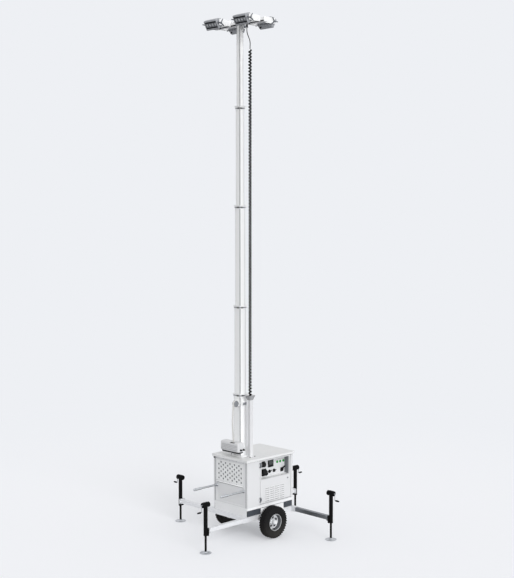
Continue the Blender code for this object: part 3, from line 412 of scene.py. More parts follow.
# %% Settled dust group
def make_dust_group():
    tree, source, sink = new_group(
        "Settled dust",
        [("Colour", "NodeSocketColor", (0.8, 0.8, 0.8, 1)), ("Roughness", "NodeSocketFloat", 0.4),
         ("Dust", "NodeSocketColor", tone(176, 170, 160)), ("Low amount", "NodeSocketFloat", 0.3),
         ("Low reach", "NodeSocketFloat", 0.5), ("Top amount", "NodeSocketFloat", 0.1)],
        [("Colour", "NodeSocketColor"), ("Roughness", "NodeSocketFloat")],
    )
    place = add_node(tree, "ShaderNodeTexCoord").outputs["Object"]
    split = add_node(tree, "ShaderNodeSeparateXYZ")
    tree.links.new(place, split.inputs[0])
    fade = math_node(tree, "DIVIDE", split.outputs["Z"], source.outputs["Low reach"])
    low = math_node(tree, "SUBTRACT", 1.0, fade, True)
    low = math_node(tree, "MULTIPLY", low, source.outputs["Low amount"])
    normal = add_node(tree, "ShaderNodeNewGeometry").outputs["Normal"]
    facing = add_node(tree, "ShaderNodeSeparateXYZ")
    tree.links.new(normal, facing.inputs[0])
    top = math_node(tree, "MAXIMUM", facing.outputs["Z"], 0.0)
    top = math_node(tree, "MULTIPLY", top, source.outputs["Top amount"])
    patches = math_node(tree, "MULTIPLY", noise_node(tree, place, 7.0, 6), 1.6)
    amount = math_node(tree, "MULTIPLY", math_node(tree, "ADD", low, top), patches, True)
    colour = mix_colour(tree, amount, source.outputs["Colour"], source.outputs["Dust"])
    rough = math_node(tree, "ADD", source.outputs["Roughness"], math_node(tree, "MULTIPLY", amount, 0.5), True)
    return hand_out(tree, sink, Colour=colour, Roughness=rough)


dust_group = make_dust_group()

# %% [markdown]
# Zinc plate is bright but cloudy, with long faint drawing marks. Rubber is dark with a
# fine grain. Both follow the same plan: colours go in, and a colour, a roughness and a
# height come out.


# %% Zinc and rubber groups
def make_zinc_group():
    tree, source, sink = new_group(
        "Zinc plate",
        [("Bright", "NodeSocketColor", tone(205, 208, 212)), ("Dull", "NodeSocketColor", tone(150, 154, 160)),
         ("Gloss", "NodeSocketFloat", 0.25), ("Marks", "NodeSocketVector", (40.0, 40.0, 40.0))],
        [("Colour", "NodeSocketColor"), ("Roughness", "NodeSocketFloat"), ("Height", "NodeSocketFloat")],
    )
    place = add_node(tree, "ShaderNodeTexCoord").outputs["Object"]
    stretch = add_node(tree, "ShaderNodeVectorMath", operation="MULTIPLY")
    tree.links.new(place, stretch.inputs[0])
    tree.links.new(source.outputs["Marks"], stretch.inputs[1])
    marks = noise_node(tree, stretch.outputs[0], 1.0, 4)
    cells = add_node(tree, "ShaderNodeTexVoronoi")
    cells.inputs["Scale"].default_value = 60.0
    tree.links.new(place, cells.inputs["Vector"])
    cloud = math_node(tree, "MULTIPLY", cells.outputs["Distance"], 0.7)
    share = math_node(tree, "MULTIPLY", math_node(tree, "ADD", cloud, marks), 0.55, True)
    colour = mix_colour(tree, share, source.outputs["Bright"], source.outputs["Dull"])
    rough = math_node(tree, "ADD", source.outputs["Gloss"], math_node(tree, "MULTIPLY", share, 0.3), True)
    return hand_out(tree, sink, Colour=colour, Roughness=rough, Height=marks)


def make_rubber_group():
    tree, source, sink = new_group(
        "Rubber grain",
        [("Dark", "NodeSocketColor", tone(24, 24, 25)), ("Worn", "NodeSocketColor", tone(58, 57, 56)),
         ("Gloss", "NodeSocketFloat", 0.55), ("Grain", "NodeSocketFloat", 400.0)],
        [("Colour", "NodeSocketColor"), ("Roughness", "NodeSocketFloat"), ("Height", "NodeSocketFloat")],
    )
    place = add_node(tree, "ShaderNodeTexCoord").outputs["Object"]
    slow = noise_node(tree, place, 16.0, 5)
    share = math_node(tree, "POWER", slow, 2.5, True)
    colour = mix_colour(tree, share, source.outputs["Dark"], source.outputs["Worn"])
    rough = math_node(tree, "ADD", source.outputs["Gloss"], math_node(tree, "MULTIPLY", slow, 0.25), True)
    grain = noise_node(tree, place, source.outputs["Grain"], 2)
    return hand_out(tree, sink, Colour=colour, Roughness=rough, Height=grain)


zinc_group = make_zinc_group()
rubber_group = make_rubber_group()
print("finish groups", [group.name for group in bpy.data.node_groups])

# %% [markdown]
# ## Materials
# A material is one Principled shader, an effect group, the dust group and a bump. The
# plain numbers sit on the shader's own sockets, and only what changes over the
# surface is linked.


# %% Material builder
def finish(name, group, values, metallic=0.0, bump=0.02, dust=None, coat=0.0, specular=0.5):
    """A material from an effect group, with dust where the piece is near the ground."""
    material = bpy.data.materials.new(name)
    material.use_nodes = True
    tree = material.node_tree
    shader = tree.nodes["Principled BSDF"]
    effect = add_node(tree, "ShaderNodeGroup", node_tree=group)
    for label, value in values.items():
        effect.inputs[label].default_value = value
    colour = effect.outputs["Colour"]
    rough = effect.outputs["Roughness"]
    if dust:
        settled = add_node(tree, "ShaderNodeGroup", node_tree=dust_group)
        tree.links.new(colour, settled.inputs["Colour"])
        tree.links.new(rough, settled.inputs["Roughness"])
        for label, value in zip(("Low amount", "Low reach", "Top amount"), dust):
            settled.inputs[label].default_value = value
        colour = settled.outputs["Colour"]
        rough = settled.outputs["Roughness"]
    tree.links.new(colour, shader.inputs["Base Color"])
    tree.links.new(rough, shader.inputs["Roughness"])
    relief = add_node(tree, "ShaderNodeBump")
    relief.inputs["Strength"].default_value = 1.0
    relief.inputs["Distance"].default_value = bump * 0.001
    tree.links.new(effect.outputs["Height"], relief.inputs["Height"])
    tree.links.new(relief.outputs["Normal"], shader.inputs["Normal"])
    shader.inputs["Metallic"].default_value = metallic
    shader.inputs["Coat Weight"].default_value = coat
    shader.inputs["Specular IOR Level"].default_value = specular
    return material


def coat_of(name, colour, shade, gloss=0.36, dust=(0.25, 0.5, 0.08), bump=0.03, **more):
    values = {"Colour": tone(*colour), "Shade": tone(*shade), "Gloss": gloss}
    return finish(name, coat_group, values, bump=bump, dust=dust, **more)


def zinc_of(name, bright, dull, gloss, marks, dust=(0.2, 0.4, 0.05), metallic=0.92):
    values = {"Bright": tone(*bright), "Dull": tone(*dull), "Gloss": gloss, "Marks": marks}
    return finish(name, zinc_group, values, metallic=metallic, bump=0.01, dust=dust)


def rubber_of(name, dark, worn, gloss, grain=400.0, dust=None, bump=0.08, specular=0.2, **more):
    values = {"Dark": tone(*dark), "Worn": tone(*worn), "Gloss": gloss, "Grain": grain}
    return finish(name, rubber_group, values, bump=bump, dust=dust, specular=specular, **more)


# %% The tower's finishes
mast_white = coat_of("mast_white", (244, 245, 246), (237, 238, 239), 0.3, (0.03, 0.5, 0.02))
funnel_grey = coat_of("funnel_grey", (216, 217, 219), (204, 205, 208), 0.34, (0.0, 0.5, 0.05))
winch_grey = coat_of("winch_grey", (208, 209, 211), (196, 197, 200), 0.34, (0.0, 0.5, 0.05))
baffle_grey = coat_of("baffle_grey", (140, 142, 146), (124, 126, 130), 0.6, (0.0, 0.5, 0.1))
# The tray's dark grey is painted shade on its walls, which sit in shade inside the recess.
tray_grey = coat_of("tray_grey", (116, 119, 123), (104, 107, 111), 0.5, (0.0, 0.5, 0.05), specular=0.3)
cabinet_grey = coat_of("cabinet_grey", (214, 215, 217), (203, 204, 206), 0.38, (0.1, 0.5, 0.03))
# The front panel and grille greys are paler copies of the cabinet grey: painted light that offsets the shade on the
# front face and under the lid's overhang.
front_grey = coat_of("front_grey", (220, 221, 223), (209, 210, 212), 0.38, (0.1, 0.5, 0.03))
grille_grey = coat_of("grille_grey", (231, 232, 233), (220, 221, 223), 0.38, (0.1, 0.5, 0.03))
lid_white = coat_of("lid_white", (224, 225, 226), (213, 214, 215), 0.34, (0.0, 0.5, 0.08))
sill_grey = coat_of("sill_grey", (232, 233, 235), (220, 222, 224), 0.4, (0.1, 0.5, 0.03))
frame_blue = coat_of("frame_blue", (58, 64, 72), (46, 51, 58), 0.46, (0.1, 0.5, 0.04), specular=0.3)
jack_black = coat_of("jack_black", (6, 6, 7), (12, 12, 13), 0.5, (0.01, 0.4, 0.0), specular=0.08)
dark_inside = coat_of("dark_inside", (34, 36, 40), (24, 26, 30), 0.6, (0.05, 0.6, 0.02), specular=0.2)
arm_zinc = zinc_of("arm_zinc", (238, 239, 241), (214, 216, 220), 0.22, (30.0, 30.0, 220.0), (0.06, 0.4, 0.0), 0.35)
# This darker zinc copy is painted shade and a painted dark reflection for the rear right arm, which sits in the
# shadow of the wheel and cabinet.
dull_zinc = zinc_of("dull_zinc", (150, 153, 157), (96, 99, 104), 0.2, (30.0, 30.0, 220.0), (0.1, 0.4, 0.0))
foot_zinc = zinc_of("foot_zinc", (222, 224, 227), (168, 171, 176), 0.2, (60.0, 60.0, 60.0), (0.1, 0.1, 0.0))
bolt_zinc = zinc_of("bolt_zinc", (200, 202, 206), (140, 143, 148), 0.28, (90.0, 90.0, 90.0))
rope_steel = zinc_of("rope_steel", (182, 184, 188), (146, 148, 152), 0.35, (300.0, 300.0, 700.0))
rim_silver = coat_of("rim_silver", (232, 234, 236), (208, 210, 213), 0.22, (0.08, 0.35, 0.0), metallic=0.35)
tyre_rubber = rubber_of("tyre_rubber", (20, 20, 21), (32, 32, 32), 0.7, 350.0, (0.05, 0.25, 0.0), specular=0.15)
cable_rubber = rubber_of("cable_rubber", (2, 2, 2), (6, 6, 7), 0.6, 900.0, specular=0.05)
seal_rubber = rubber_of("seal_rubber", (18, 18, 19), (32, 32, 32), 0.6, 700.0)
black_plastic = rubber_of("black_plastic", (10, 10, 11), (20, 20, 22), 0.42, 1200.0, bump=0.03)
lamp_grey = coat_of("lamp_grey", (164, 166, 170), (142, 144, 149), 0.4, (0.0, 0.5, 0.05), metallic=0.3)
hinge_grey = zinc_of("hinge_grey", (132, 135, 140), (98, 101, 106), 0.34, (90.0, 90.0, 90.0))
clamp_grey = zinc_of("clamp_grey", (168, 170, 174), (136, 139, 143), 0.36, (120.0, 120.0, 120.0))
handle_zinc = zinc_of("handle_zinc", (228, 230, 233), (176, 179, 183), 0.22, (220.0, 30.0, 220.0))
strap_web = rubber_of("strap_web", (232, 232, 230), (212, 212, 208), 0.75, 900.0, bump=0.2)
screen_glass = rubber_of("screen_glass", (38, 44, 44), (46, 52, 52), 0.04, 40.0, bump=0.0, coat=0.8)
green_lens = rubber_of("green_lens", (0, 132, 32), (2, 150, 42), 0.16, 300.0, bump=0.01, coat=0.8)
corner_grey = coat_of("corner_grey", (88, 89, 92), (78, 79, 82), 0.34, (0.0, 0.5, 0.0))
# This dark grey is painted shade: inside the rim's barrel, under the front ledge and under the push handles.
rubbed_dark = coat_of("rubbed_dark", (92, 94, 97), (74, 76, 79), 0.45, (0.0, 0.5, 0.0), specular=0.3)
# This grey is painted shade: the winch's groove floors and the cable tube's downward faces.
rubbed_grey = coat_of("rubbed_grey", (154, 155, 158), (142, 143, 146), 0.34, (0.0, 0.5, 0.0))
lens_tray_grey = coat_of("lens_tray_grey", (112, 114, 118), (96, 98, 102), 0.3, None, metallic=0.4)
lens_clear = rubber_of("lens_clear", (176, 179, 183), (194, 197, 200), 0.03, 60.0, bump=0.01, coat=0.8)
print("materials", len(bpy.data.materials))


# %% [markdown]
# ## Which piece moves with which body
# A piece is finished in one step: its material is set, it rides on its body, and where
# it stands for an imported solid, that solid is hidden.


# %% Finish a piece
body_of_node = {}
for name, members in frame["record"]["behaviour"]["bodies"].items():
    body_of_node.update({node: name for node in members})


def seat_piece(item, material, body, stands_for=()):
    item.data.materials.clear()
    item.data.materials.append(material)
    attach(item, body)
    if stands_for:
        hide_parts(*stands_for)
    return item


def skin(node, material, width=0.0015, segments=2, angle=30):
    """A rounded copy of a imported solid, riding where the solid rides."""
    item = rounded_copy(node, width, segments, angle)
    return seat_piece(item, material, body_of_node[node], (node,))


def seat_copies(pieces, places, tilt=Matrix.Identity(4)):
    """Model each piece once, then seat a copy of it at every place."""
    for maker, material, slot, body, node in pieces:
        first = maker()
        for name, turn, place in places:
            move = Matrix.Translation(place) @ Matrix.Rotation(math.radians(turn), 4, "Z") @ tilt
            copy = twin(first, f"{first.name}_{name}", move)
            seat_piece(copy, material, body + name, (node + name,) if node else ())
        bpy.data.objects.remove(first, do_unlink=True)


# %% Rounded skins for the sheet metal and the tubes
SKINS = (
    # node, material, slot, edge radius
    ("cabinet_lid", lid_white, "white_paint", 0.002),
    ("cabinet_front_panel", front_grey, "cabinet_grey", 0.0015),
    ("cabinet_rear_panel", cabinet_grey, "cabinet_grey", 0.0012),
    ("cabinet_side_right", cabinet_grey, "cabinet_grey", 0.0012),
    ("cabinet_side_left", cabinet_grey, "cabinet_grey", 0.0012),
    ("door_right", cabinet_grey, "cabinet_grey", 0.0012),
    ("door_left", cabinet_grey, "cabinet_grey", 0.0012),
    ("louvres_right", cabinet_grey, "cabinet_grey", 0.0006),
    ("louvres_left", cabinet_grey, "cabinet_grey", 0.0006),
    ("floor_pan", sill_grey, "light_grey", 0.0015),
    ("front_beam", sill_grey, "light_grey", 0.003),
    ("rear_beam", sill_grey, "light_grey", 0.003),
    ("axle_beam", sill_grey, "light_grey", 0.0015),
    ("frame_rails", frame_blue, "frame_paint", 0.003),
    ("generator_block", dark_inside, "frame_paint", 0.006),
    ("stabiliser_sleeves", arm_zinc, "zinc", 0.002),
    ("lamp_bar", mast_white, "white_paint", 0.001),
)
for node, material, slot, width in SKINS:
    skin(node, material, width)

# %% [markdown]
# ## Wheels
# A tyre is a turned form, so its half outline is drawn as points of radius and width and
# spun round the axle. Grooves are part of the outline. The shoulder lugs repeat round
# the tyre, so one lug is made, bevelled and copied, which keeps every lug the same.

# %% Wheel sizes
tyre_low, tyre_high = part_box("tyre_right")
WHEEL_CENTRE = (tyre_low + tyre_high) / 2
TYRE_RADIUS = (tyre_high.z - tyre_low.z) / 2
LUGS = 38
LUG_HALF = Vector((0.0105, 0.0095, 0.006))
RIM_HOLES = 5
RIM_HOLE_RING = 0.059
RIM_HOLE_RADIUS = 0.0205
WHEEL_NUTS = 5


def mirrored(points):
    """An outline and its mirror image, as one closed loop."""
    return points + [(radius, -along) for radius, along in reversed(points)]


tyre_outline = mirrored([
    (0.1036, 0.0), (0.1036, 0.0415), (0.1085, 0.047), (0.12, 0.0508), (0.136, 0.0548),
    (0.152, 0.0558), (0.165, 0.055), (0.166, 0.0538), (0.1675, 0.0538), (0.169, 0.0545),
    (0.178, 0.0525), (0.184, 0.05), (0.1885, 0.046), (0.1925, 0.0385), (0.1945, 0.028),
    (0.195, 0.0215), (0.19, 0.0205), (0.19, 0.0165), (0.1955, 0.0155), (0.196, 0.006),
    (0.191, 0.005), (0.191, 0.0),
])[:-1]
rim_outline = [
    (0.0135, -0.035), (0.031, -0.035), (0.031, -0.003), (0.04, -0.0035), (0.061, -0.013),
    (0.084, -0.013), (0.0885, -0.01), (0.0912, -0.016), (0.092, -0.03), (0.0985, -0.04),
    (0.0985, -0.043), (0.1028, -0.043), (0.1028, -0.036), (0.0955, -0.03), (0.0945, -0.01),
    (0.0945, 0.01), (0.0985, 0.028), (0.1026, 0.036), (0.103, 0.043), (0.1015, 0.0455),
    (0.099, 0.0455), (0.0978, 0.041), (0.095, 0.029), (0.0912, 0.012), (0.0905, 0.0),
    (0.088, -0.006), (0.083, -0.0088), (0.062, -0.0088), (0.042, 0.0), (0.033, 0.004),
    (0.0312, 0.008), (0.0312, 0.03), (0.0285, 0.0342), (0.0135, 0.035),
]


# %% Wheels
def ring_of(item, name, count, centre, axis):
    """Copies of one piece evenly round an axis, joined into one object."""
    copies = [item]
    for index in range(1, count):
        copies.append(twin(item, f"{name}_{index}", turn_about(centre, 360 * index / count, axis)))
    return weld_pieces(name, copies)


def make_wheel_parts():
    """The right wheel's tyre, rim, nuts and valve, about the right axle."""
    centre = WHEEL_CENTRE
    tyre = spun("tyre", tyre_outline, centre, (1, 0, 0), 72)
    lugs = []
    for side in (-1, 1):
        middle = centre + Vector((side * 0.0415, 0, TYRE_RADIUS - 0.0075))
        lug = slab("lug", middle - LUG_HALF, middle + LUG_HALF)
        taper(lug, towards(side, 0, 0), (1, 0.72, 0.55), middle - Vector((0, 0, LUG_HALF.z)))
        bevel(lug, 0.0012)
        lugs.append(ring_of(lug, f"lugs_{side}", LUGS, centre, "X"))
    tyre = weld_pieces("tyre", [*lugs, tyre])
    rim = spun("rim", rim_outline, centre, (1, 0, 0), 72)
    hole = stub("rim_holes", centre + Vector((-0.05, 0, RIM_HOLE_RING)), (0.1, 0, 0), RIM_HOLE_RADIUS)
    carve(rim, ring_of(hole, "rim_holes", RIM_HOLES, centre, "X"))
    soften(rim, 0.0006, 1, 50)
    spot = centre + Vector((-0.002, 0, 0.0475))
    stud = stub("stud", spot, (0.012, 0, 0), 0.0042, 12)
    nut = stub("nut", spot + Vector((0.002, 0, 0)), (0.007, 0, 0), 0.0078, 6)
    bevel(nut, 0.0008)
    nut = weld_pieces("nut", [stud, nut])
    nut.data.transform(turn_about(centre, 180 / RIM_HOLES, "X"))
    nuts = ring_of(nut, "wheel_nuts", WHEEL_NUTS, centre, "X")
    cap = spun("hub_cap", [
        (0.0, 0.0345), (0.0255, 0.0345), (0.0255, 0.04), (0.023, 0.0435), (0.012, 0.0462), (0.0, 0.047),
    ], centre, (1, 0, 0), 40)
    foot = centre + Vector((-0.004, 0.0, -0.08))
    stem = stub("valve_stem", foot, (0.03, 0, -0.004), 0.0032, 12)
    valve = stub("valve", foot + Vector((0.026, 0, -0.0035)), (0.01, 0, -0.0015), 0.0042, 12)
    # A dark disc behind the rim holes, painted shade that makes the holes read black.
    hole_shade_disc = spun("wheel_shield", [(0.0313, -0.026), (0.088, -0.026), (0.088, -0.017), (0.0313, -0.017)],
                  centre, (1, 0, 0), 48)
    return (
        (tyre, tyre_rubber, "tyre", "tyre"),
        (rim, rim_silver, "rim_silver", "rim"),
        (hole_shade_disc, jack_black, None, None),
        (nuts, bolt_zinc, "zinc", None),
        (cap, rim_silver, "rim_silver", None),
        (weld_pieces("valve", [stem, valve]), seal_rubber, "cable_rubber", None),
    )


def in_barrel(spot, away):
    """The inside wall of the rim, which gets painted shade from the dish."""
    reach = math.hypot(spot.y - WHEEL_CENTRE.y, spot.z - WHEEL_CENTRE.z)
    inward = (away.y * (spot.y - WHEEL_CENTRE.y) + away.z * (spot.z - WHEEL_CENTRE.z)) / reach
    return 0.0875 < reach < 0.097 and inward < -0.3


other_wheel = Matrix.Translation((0, 2 * WHEEL_CENTRE.y, 0)) @ HALF_TURN
for item, material, slot, node in make_wheel_parts():
    left = twin(item, item.name + "_left", other_wheel)
    item.name = item.name + "_right"
    for piece, side in ((item, "right"), (left, "left")):
        seat_piece(piece, material, "wheel_" + side, (f"{node}_{side}",) if node else ())
        if node == "rim":
            # Painted shade inside the rim's barrel.
            repaint(piece, rubbed_dark, in_barrel)

# %% [markdown]
# ## Stabilisers
# All four stabilisers are the same leg turned round the pinwheel. Each piece is
# modelled once with its jack standing on the origin and its arm pointing inwards along
# -X, and is then copied to its place. The casing is a long tube, the head is a round
# gear case across it, and the crank hangs from the case's outer end.

# %% Stabiliser places
# Name, outward turn in degrees, place of the jack
LEGS = (
    ("front_left", 180, (-0.961, -0.385, 0)),
    ("front_right", -90, (0.28, -1.066, 0)),
    ("rear_right", 0, (0.961, 0.385, 0)),
    ("rear_left", 90, (-0.28, 1.066, 0)),
)
ARM_Z = 0.2705
CASE_RADIUS = 0.0245
CASE_LOW = ARM_Z - 0.06
HEAD_RADIUS = 0.031
HEAD_Z = ARM_Z + 0.3395 - HEAD_RADIUS
HEAD_HALF = 0.05
CRANK_X = 0.062
CRANK_LOW = HEAD_Z - 0.08
GRIP_END = 0.131
LEG_RADIUS = 0.0135


# %% Jack body
def make_jack():
    case = bar("jack_case", (0, 0, CASE_LOW), (0, 0, HEAD_Z), CASE_RADIUS, 40)
    collar = stub("jack_collar", (0, 0, CASE_LOW), (0, 0, 0.014), CASE_RADIUS + 0.0012, 40)
    for part in (case, collar):
        carve(part, stub("jack_mouth", (0, 0, CASE_LOW - 0.01), (0, 0, 0.09), LEG_RADIUS + 0.0012, 32))
    head = bar("jack_head", (-HEAD_HALF, 0, HEAD_Z), (HEAD_HALF, 0, HEAD_Z), HEAD_RADIUS, 40)
    edit_faces(head, lambda spot, normal: abs(normal.x) > 0.9)
    bpy.ops.mesh.inset(thickness=0.006)
    bpy.ops.mesh.extrude_region_shrink_fatten(TRANSFORM_OT_shrink_fatten={"value": -0.003})
    edit_done()
    lid = slab("jack_lid", (-0.036, -0.02, HEAD_Z + 0.012), (0.036, 0.02, HEAD_Z + HEAD_RADIUS - 0.001))
    bracket = slab("jack_bracket", (-CASE_RADIUS - 0.0003, -0.0348, CASE_LOW), (-0.004, 0.0348, ARM_Z + 0.0325))
    widths = ((case, 0.0015), (collar, 0.001), (head, 0.0035), (lid, 0.006), (bracket, 0.003))
    return weld_pieces("jack", [soften(part, width) for part, width in widths])


def make_crank():
    """A thin bright rod from the gear case down to the grip."""
    shaft = bar("crank_shaft", (HEAD_HALF - 0.004, 0, HEAD_Z), (CRANK_X + 0.006, 0, HEAD_Z), 0.0048, 16)
    hub = bar("crank_hub", (CRANK_X - 0.007, 0, HEAD_Z), (CRANK_X + 0.007, 0, HEAD_Z), 0.009, 20)
    arm = bar("crank_arm", (CRANK_X, 0, HEAD_Z + 0.004), (CRANK_X, 0, CRANK_LOW), 0.0038, 16)
    spindle = bar("crank_spindle", (CRANK_X - 0.004, 0, CRANK_LOW), (GRIP_END - 0.004, 0, CRANK_LOW), 0.0036, 16)
    return soften(weld_pieces("crank", [shaft, hub, arm, spindle]), 0.0008, 1)


def make_grip():
    outline = [(0.0038, 0.0)]
    for index in range(13):
        share = index / 12
        radius = 0.0085 + 0.0022 * math.sin(math.pi * min(1.0, share * 1.15)) + 0.0004 * (index % 2)
        outline.append((radius, 0.004 + share * 0.05))
    outline += [(0.007, 0.057), (0.0038, 0.058)]
    return spun("crank_grip", outline, (CRANK_X + 0.009, 0, CRANK_LOW), (1, 0, 0), 28)


def make_leg():
    return soften(bar("leg_tube", (0, 0, 0.012), (0, 0, CASE_LOW + 0.14), LEG_RADIUS, 32), 0.0008, 1)


def make_foot():
    """A dished plate with a raised ring and a socket for the leg."""
    outline = [
        (0.0, 0.0), (0.056, 0.0), (0.065, 0.0012), (0.0698, 0.006), (0.0698, 0.0078), (0.068, 0.0085),
        (0.064, 0.0052), (0.055, 0.004), (0.038, 0.005), (0.03, 0.009), (0.0205, 0.018),
        (0.0195, 0.0235), (0.0168, 0.024), (0.0, 0.024),
    ]
    return spun("foot", outline, (0, 0, 0), (0, 0, 1), 56)


def make_arm_bolt():
    """Two through bolts that clamp the jack's bracket to the arm's end plate."""
    made = []
    for y in (-0.0372, 0.0372):
        for z in (ARM_Z - 0.022, ARM_Z + 0.022):
            made.append(stub("bolt", (-0.042, y, z), (0.009, 0, 0), 0.0052, 6))
    return soften(weld_pieces("arm_bolts", made), 0.0006, 1)


LEG_PIECES = (
    # maker, material, slot, body, node
    (make_jack, jack_black, "black_paint", "stabiliser_", "jack_body_"),
    (make_crank, bolt_zinc, "zinc", "stabiliser_", None),
    (make_grip, black_plastic, "cable_rubber", "stabiliser_", None),
    (make_arm_bolt, bolt_zinc, "zinc", "stabiliser_", None),
    (make_leg, jack_black, "black_paint", "foot_", "jack_leg_"),
    (make_foot, foot_zinc, "zinc", "foot_", None),
)
seat_copies(LEG_PIECES, LEGS)
# The rear right arm gets the darker zinc copy: painted shade and dark reflection.
for name, turn, place in LEGS:
    skin("arm_" + name, dull_zinc if name == "rear_right" else arm_zinc, 0.0022)
print("stabiliser pieces", len(LEG_PIECES) * len(LEGS))

# %% [markdown]
# ## The mast
# The sections are square tubes, so the imported solids already have the right form and
# only need soft edges. Each collar gets a grey band under its flared rim, which is a
# painted shadow of the rim, and a black guide pad on each face, shifted towards two
# opposite corners. The plain pads of the solid are cut back first, so that only the new
# ones show.

# %% Mast pads, bands and bolts
MAST_Y = -0.23
MAST_BODIES = (
    ("mast_base", "root"), ("mast_section_2", "mast_2"), ("mast_section_3", "mast_3"), ("mast_section_4", "mast_4"),
)
BASE_WIDTH = 0.114
WIDTH_STEP = 0.0135
COLLAR_RISE = 0.018
COLLAR_NECK = 0.003
SOLID_PAD = (0.04, 0.014, 0.005)
PAD_HALF = 0.0145
PAD_SHIFT = 0.019
BAND_PROUD = 0.0012


def ring_of_four(shape):
    """The same shape on all four faces of the mast, told which face it is on."""
    made = []
    for turn in range(4):
        part = shape(turn)
        part.data.transform(Matrix.Translation((0, MAST_Y, 0)) @ Matrix.Rotation(turn * math.pi / 2, 4, "Z"))
        made.append(part)
    return made


def darken_corners(item):
    """Grey the upright corners with a darker line along each one."""
    def on_corner(spot, away):
        return abs(away.z) < 0.3 and min(abs(away.x), abs(away.y)) > 0.25

    repaint(item, corner_grey, on_corner)


def dress_collar(number, node, body):
    half = (BASE_WIDTH - WIDTH_STEP * number) / 2
    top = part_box(node)[1].z
    neck = half + COLLAR_NECK
    pad_top = top - COLLAR_RISE
    pad_low = pad_top - SOLID_PAD[1]

    def cutter(turn):
        return slab("cutter", (neck + 0.0004, -SOLID_PAD[0] / 2 - 0.002, pad_low - 0.0005),
                    (neck + SOLID_PAD[2] + 0.002, SOLID_PAD[0] / 2 + 0.002, pad_top + 0.0003))

    def pad(turn):
        middle = PAD_SHIFT if turn % 2 else -PAD_SHIFT
        return slab("pad", (neck + 0.0003, middle - PAD_HALF, pad_low - 0.001),
                    (neck + 0.0056, middle + PAD_HALF, pad_top + 0.0005))

    def inner_pad(turn):
        return slab("inner_pad", (half - 0.0022, -0.016, top - 0.02), (half + 0.0015, 0.016, top - 0.006))

    def bolt(turn):
        side = -1 if turn % 2 else 1
        return stub("bolt", (neck + 0.0005, side * 0.028, pad_low + SOLID_PAD[1] / 2), (0.004, 0, 0), 0.0045, 6)

    collar = rounded_copy(node, 0.0012)
    for tool in ring_of_four(cutter):
        carve(collar, tool)
    seat_piece(flat_faces(collar), mast_white, body, (node,))
    darken_corners(collar)
    wide = neck + BAND_PROUD
    # A grey band under the flared rim: painted shadow of the rim on the tube.
    shadow_band = slab("collar_band", (-wide, MAST_Y - wide, pad_low), (wide, MAST_Y + wide, pad_top - 0.001))
    tight = neck - 0.0005
    carve(shadow_band, slab("cutter", (-tight, MAST_Y - tight, pad_low - 0.01), (tight, MAST_Y + tight, pad_top + 0.01)))
    shadow_band.name = f"collar_band_{number + 1}"
    seat_piece(soften(shadow_band, 0.0005, 1), clamp_grey, body)
    pads = weld_pieces(f"guide_pads_{number + 1}", ring_of_four(pad) + ring_of_four(inner_pad))
    seat_piece(soften(pads, 0.0012, 1), black_plastic, body)
    bolts = weld_pieces(f"collar_bolts_{number + 1}", ring_of_four(bolt))
    seat_piece(soften(bolts, 0.0005, 1), bolt_zinc, body)


for number, (node, body) in enumerate(MAST_BODIES):
    dress_collar(number, node, body)
darken_corners(skin("mast_section_5", mast_white, 0.0015))
print("mast collars", len(MAST_BODIES))

# %% [markdown]
# ## Pulley, rope and winch
# The pulley is spun like the wheels. The winch case is a box with wide rounded ends.
# Four shallow grooves are cut across its front, which leaves the ribs standing, takes
# less work than adding each rib and keeps one closed skin.

# %% Pulley and winch
def make_pulley():
    low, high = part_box("mast_pulley")
    centre = (low + high) / 2
    half = (high.x - low.x) / 2
    rim = (high.z - low.z) / 2
    outline = [
        (0.0066, -half), (rim - 0.0005, -half), (rim, -half + 0.0005), (rim, -half + 0.0012),
        (rim - 0.0065, -half + 0.0018), (rim - 0.0065, half - 0.0018), (rim, half - 0.0012), (rim, half - 0.0005),
        (rim - 0.0005, half), (0.0066, half),
    ]
    return spun("pulley", outline, centre, (1, 0, 0), 56), centre, half


pulley, pulley_centre, pulley_half = make_pulley()
seat_piece(pulley, rope_steel, "root", ("mast_pulley",))
nut = stub("pulley_nut", pulley_centre + Vector((pulley_half + 0.0092, 0, 0)), (0.007, 0, 0), 0.0105, 6)
seat_piece(soften(nut, 0.0008, 1), bolt_zinc, "root")


GROOVE = 0.0045


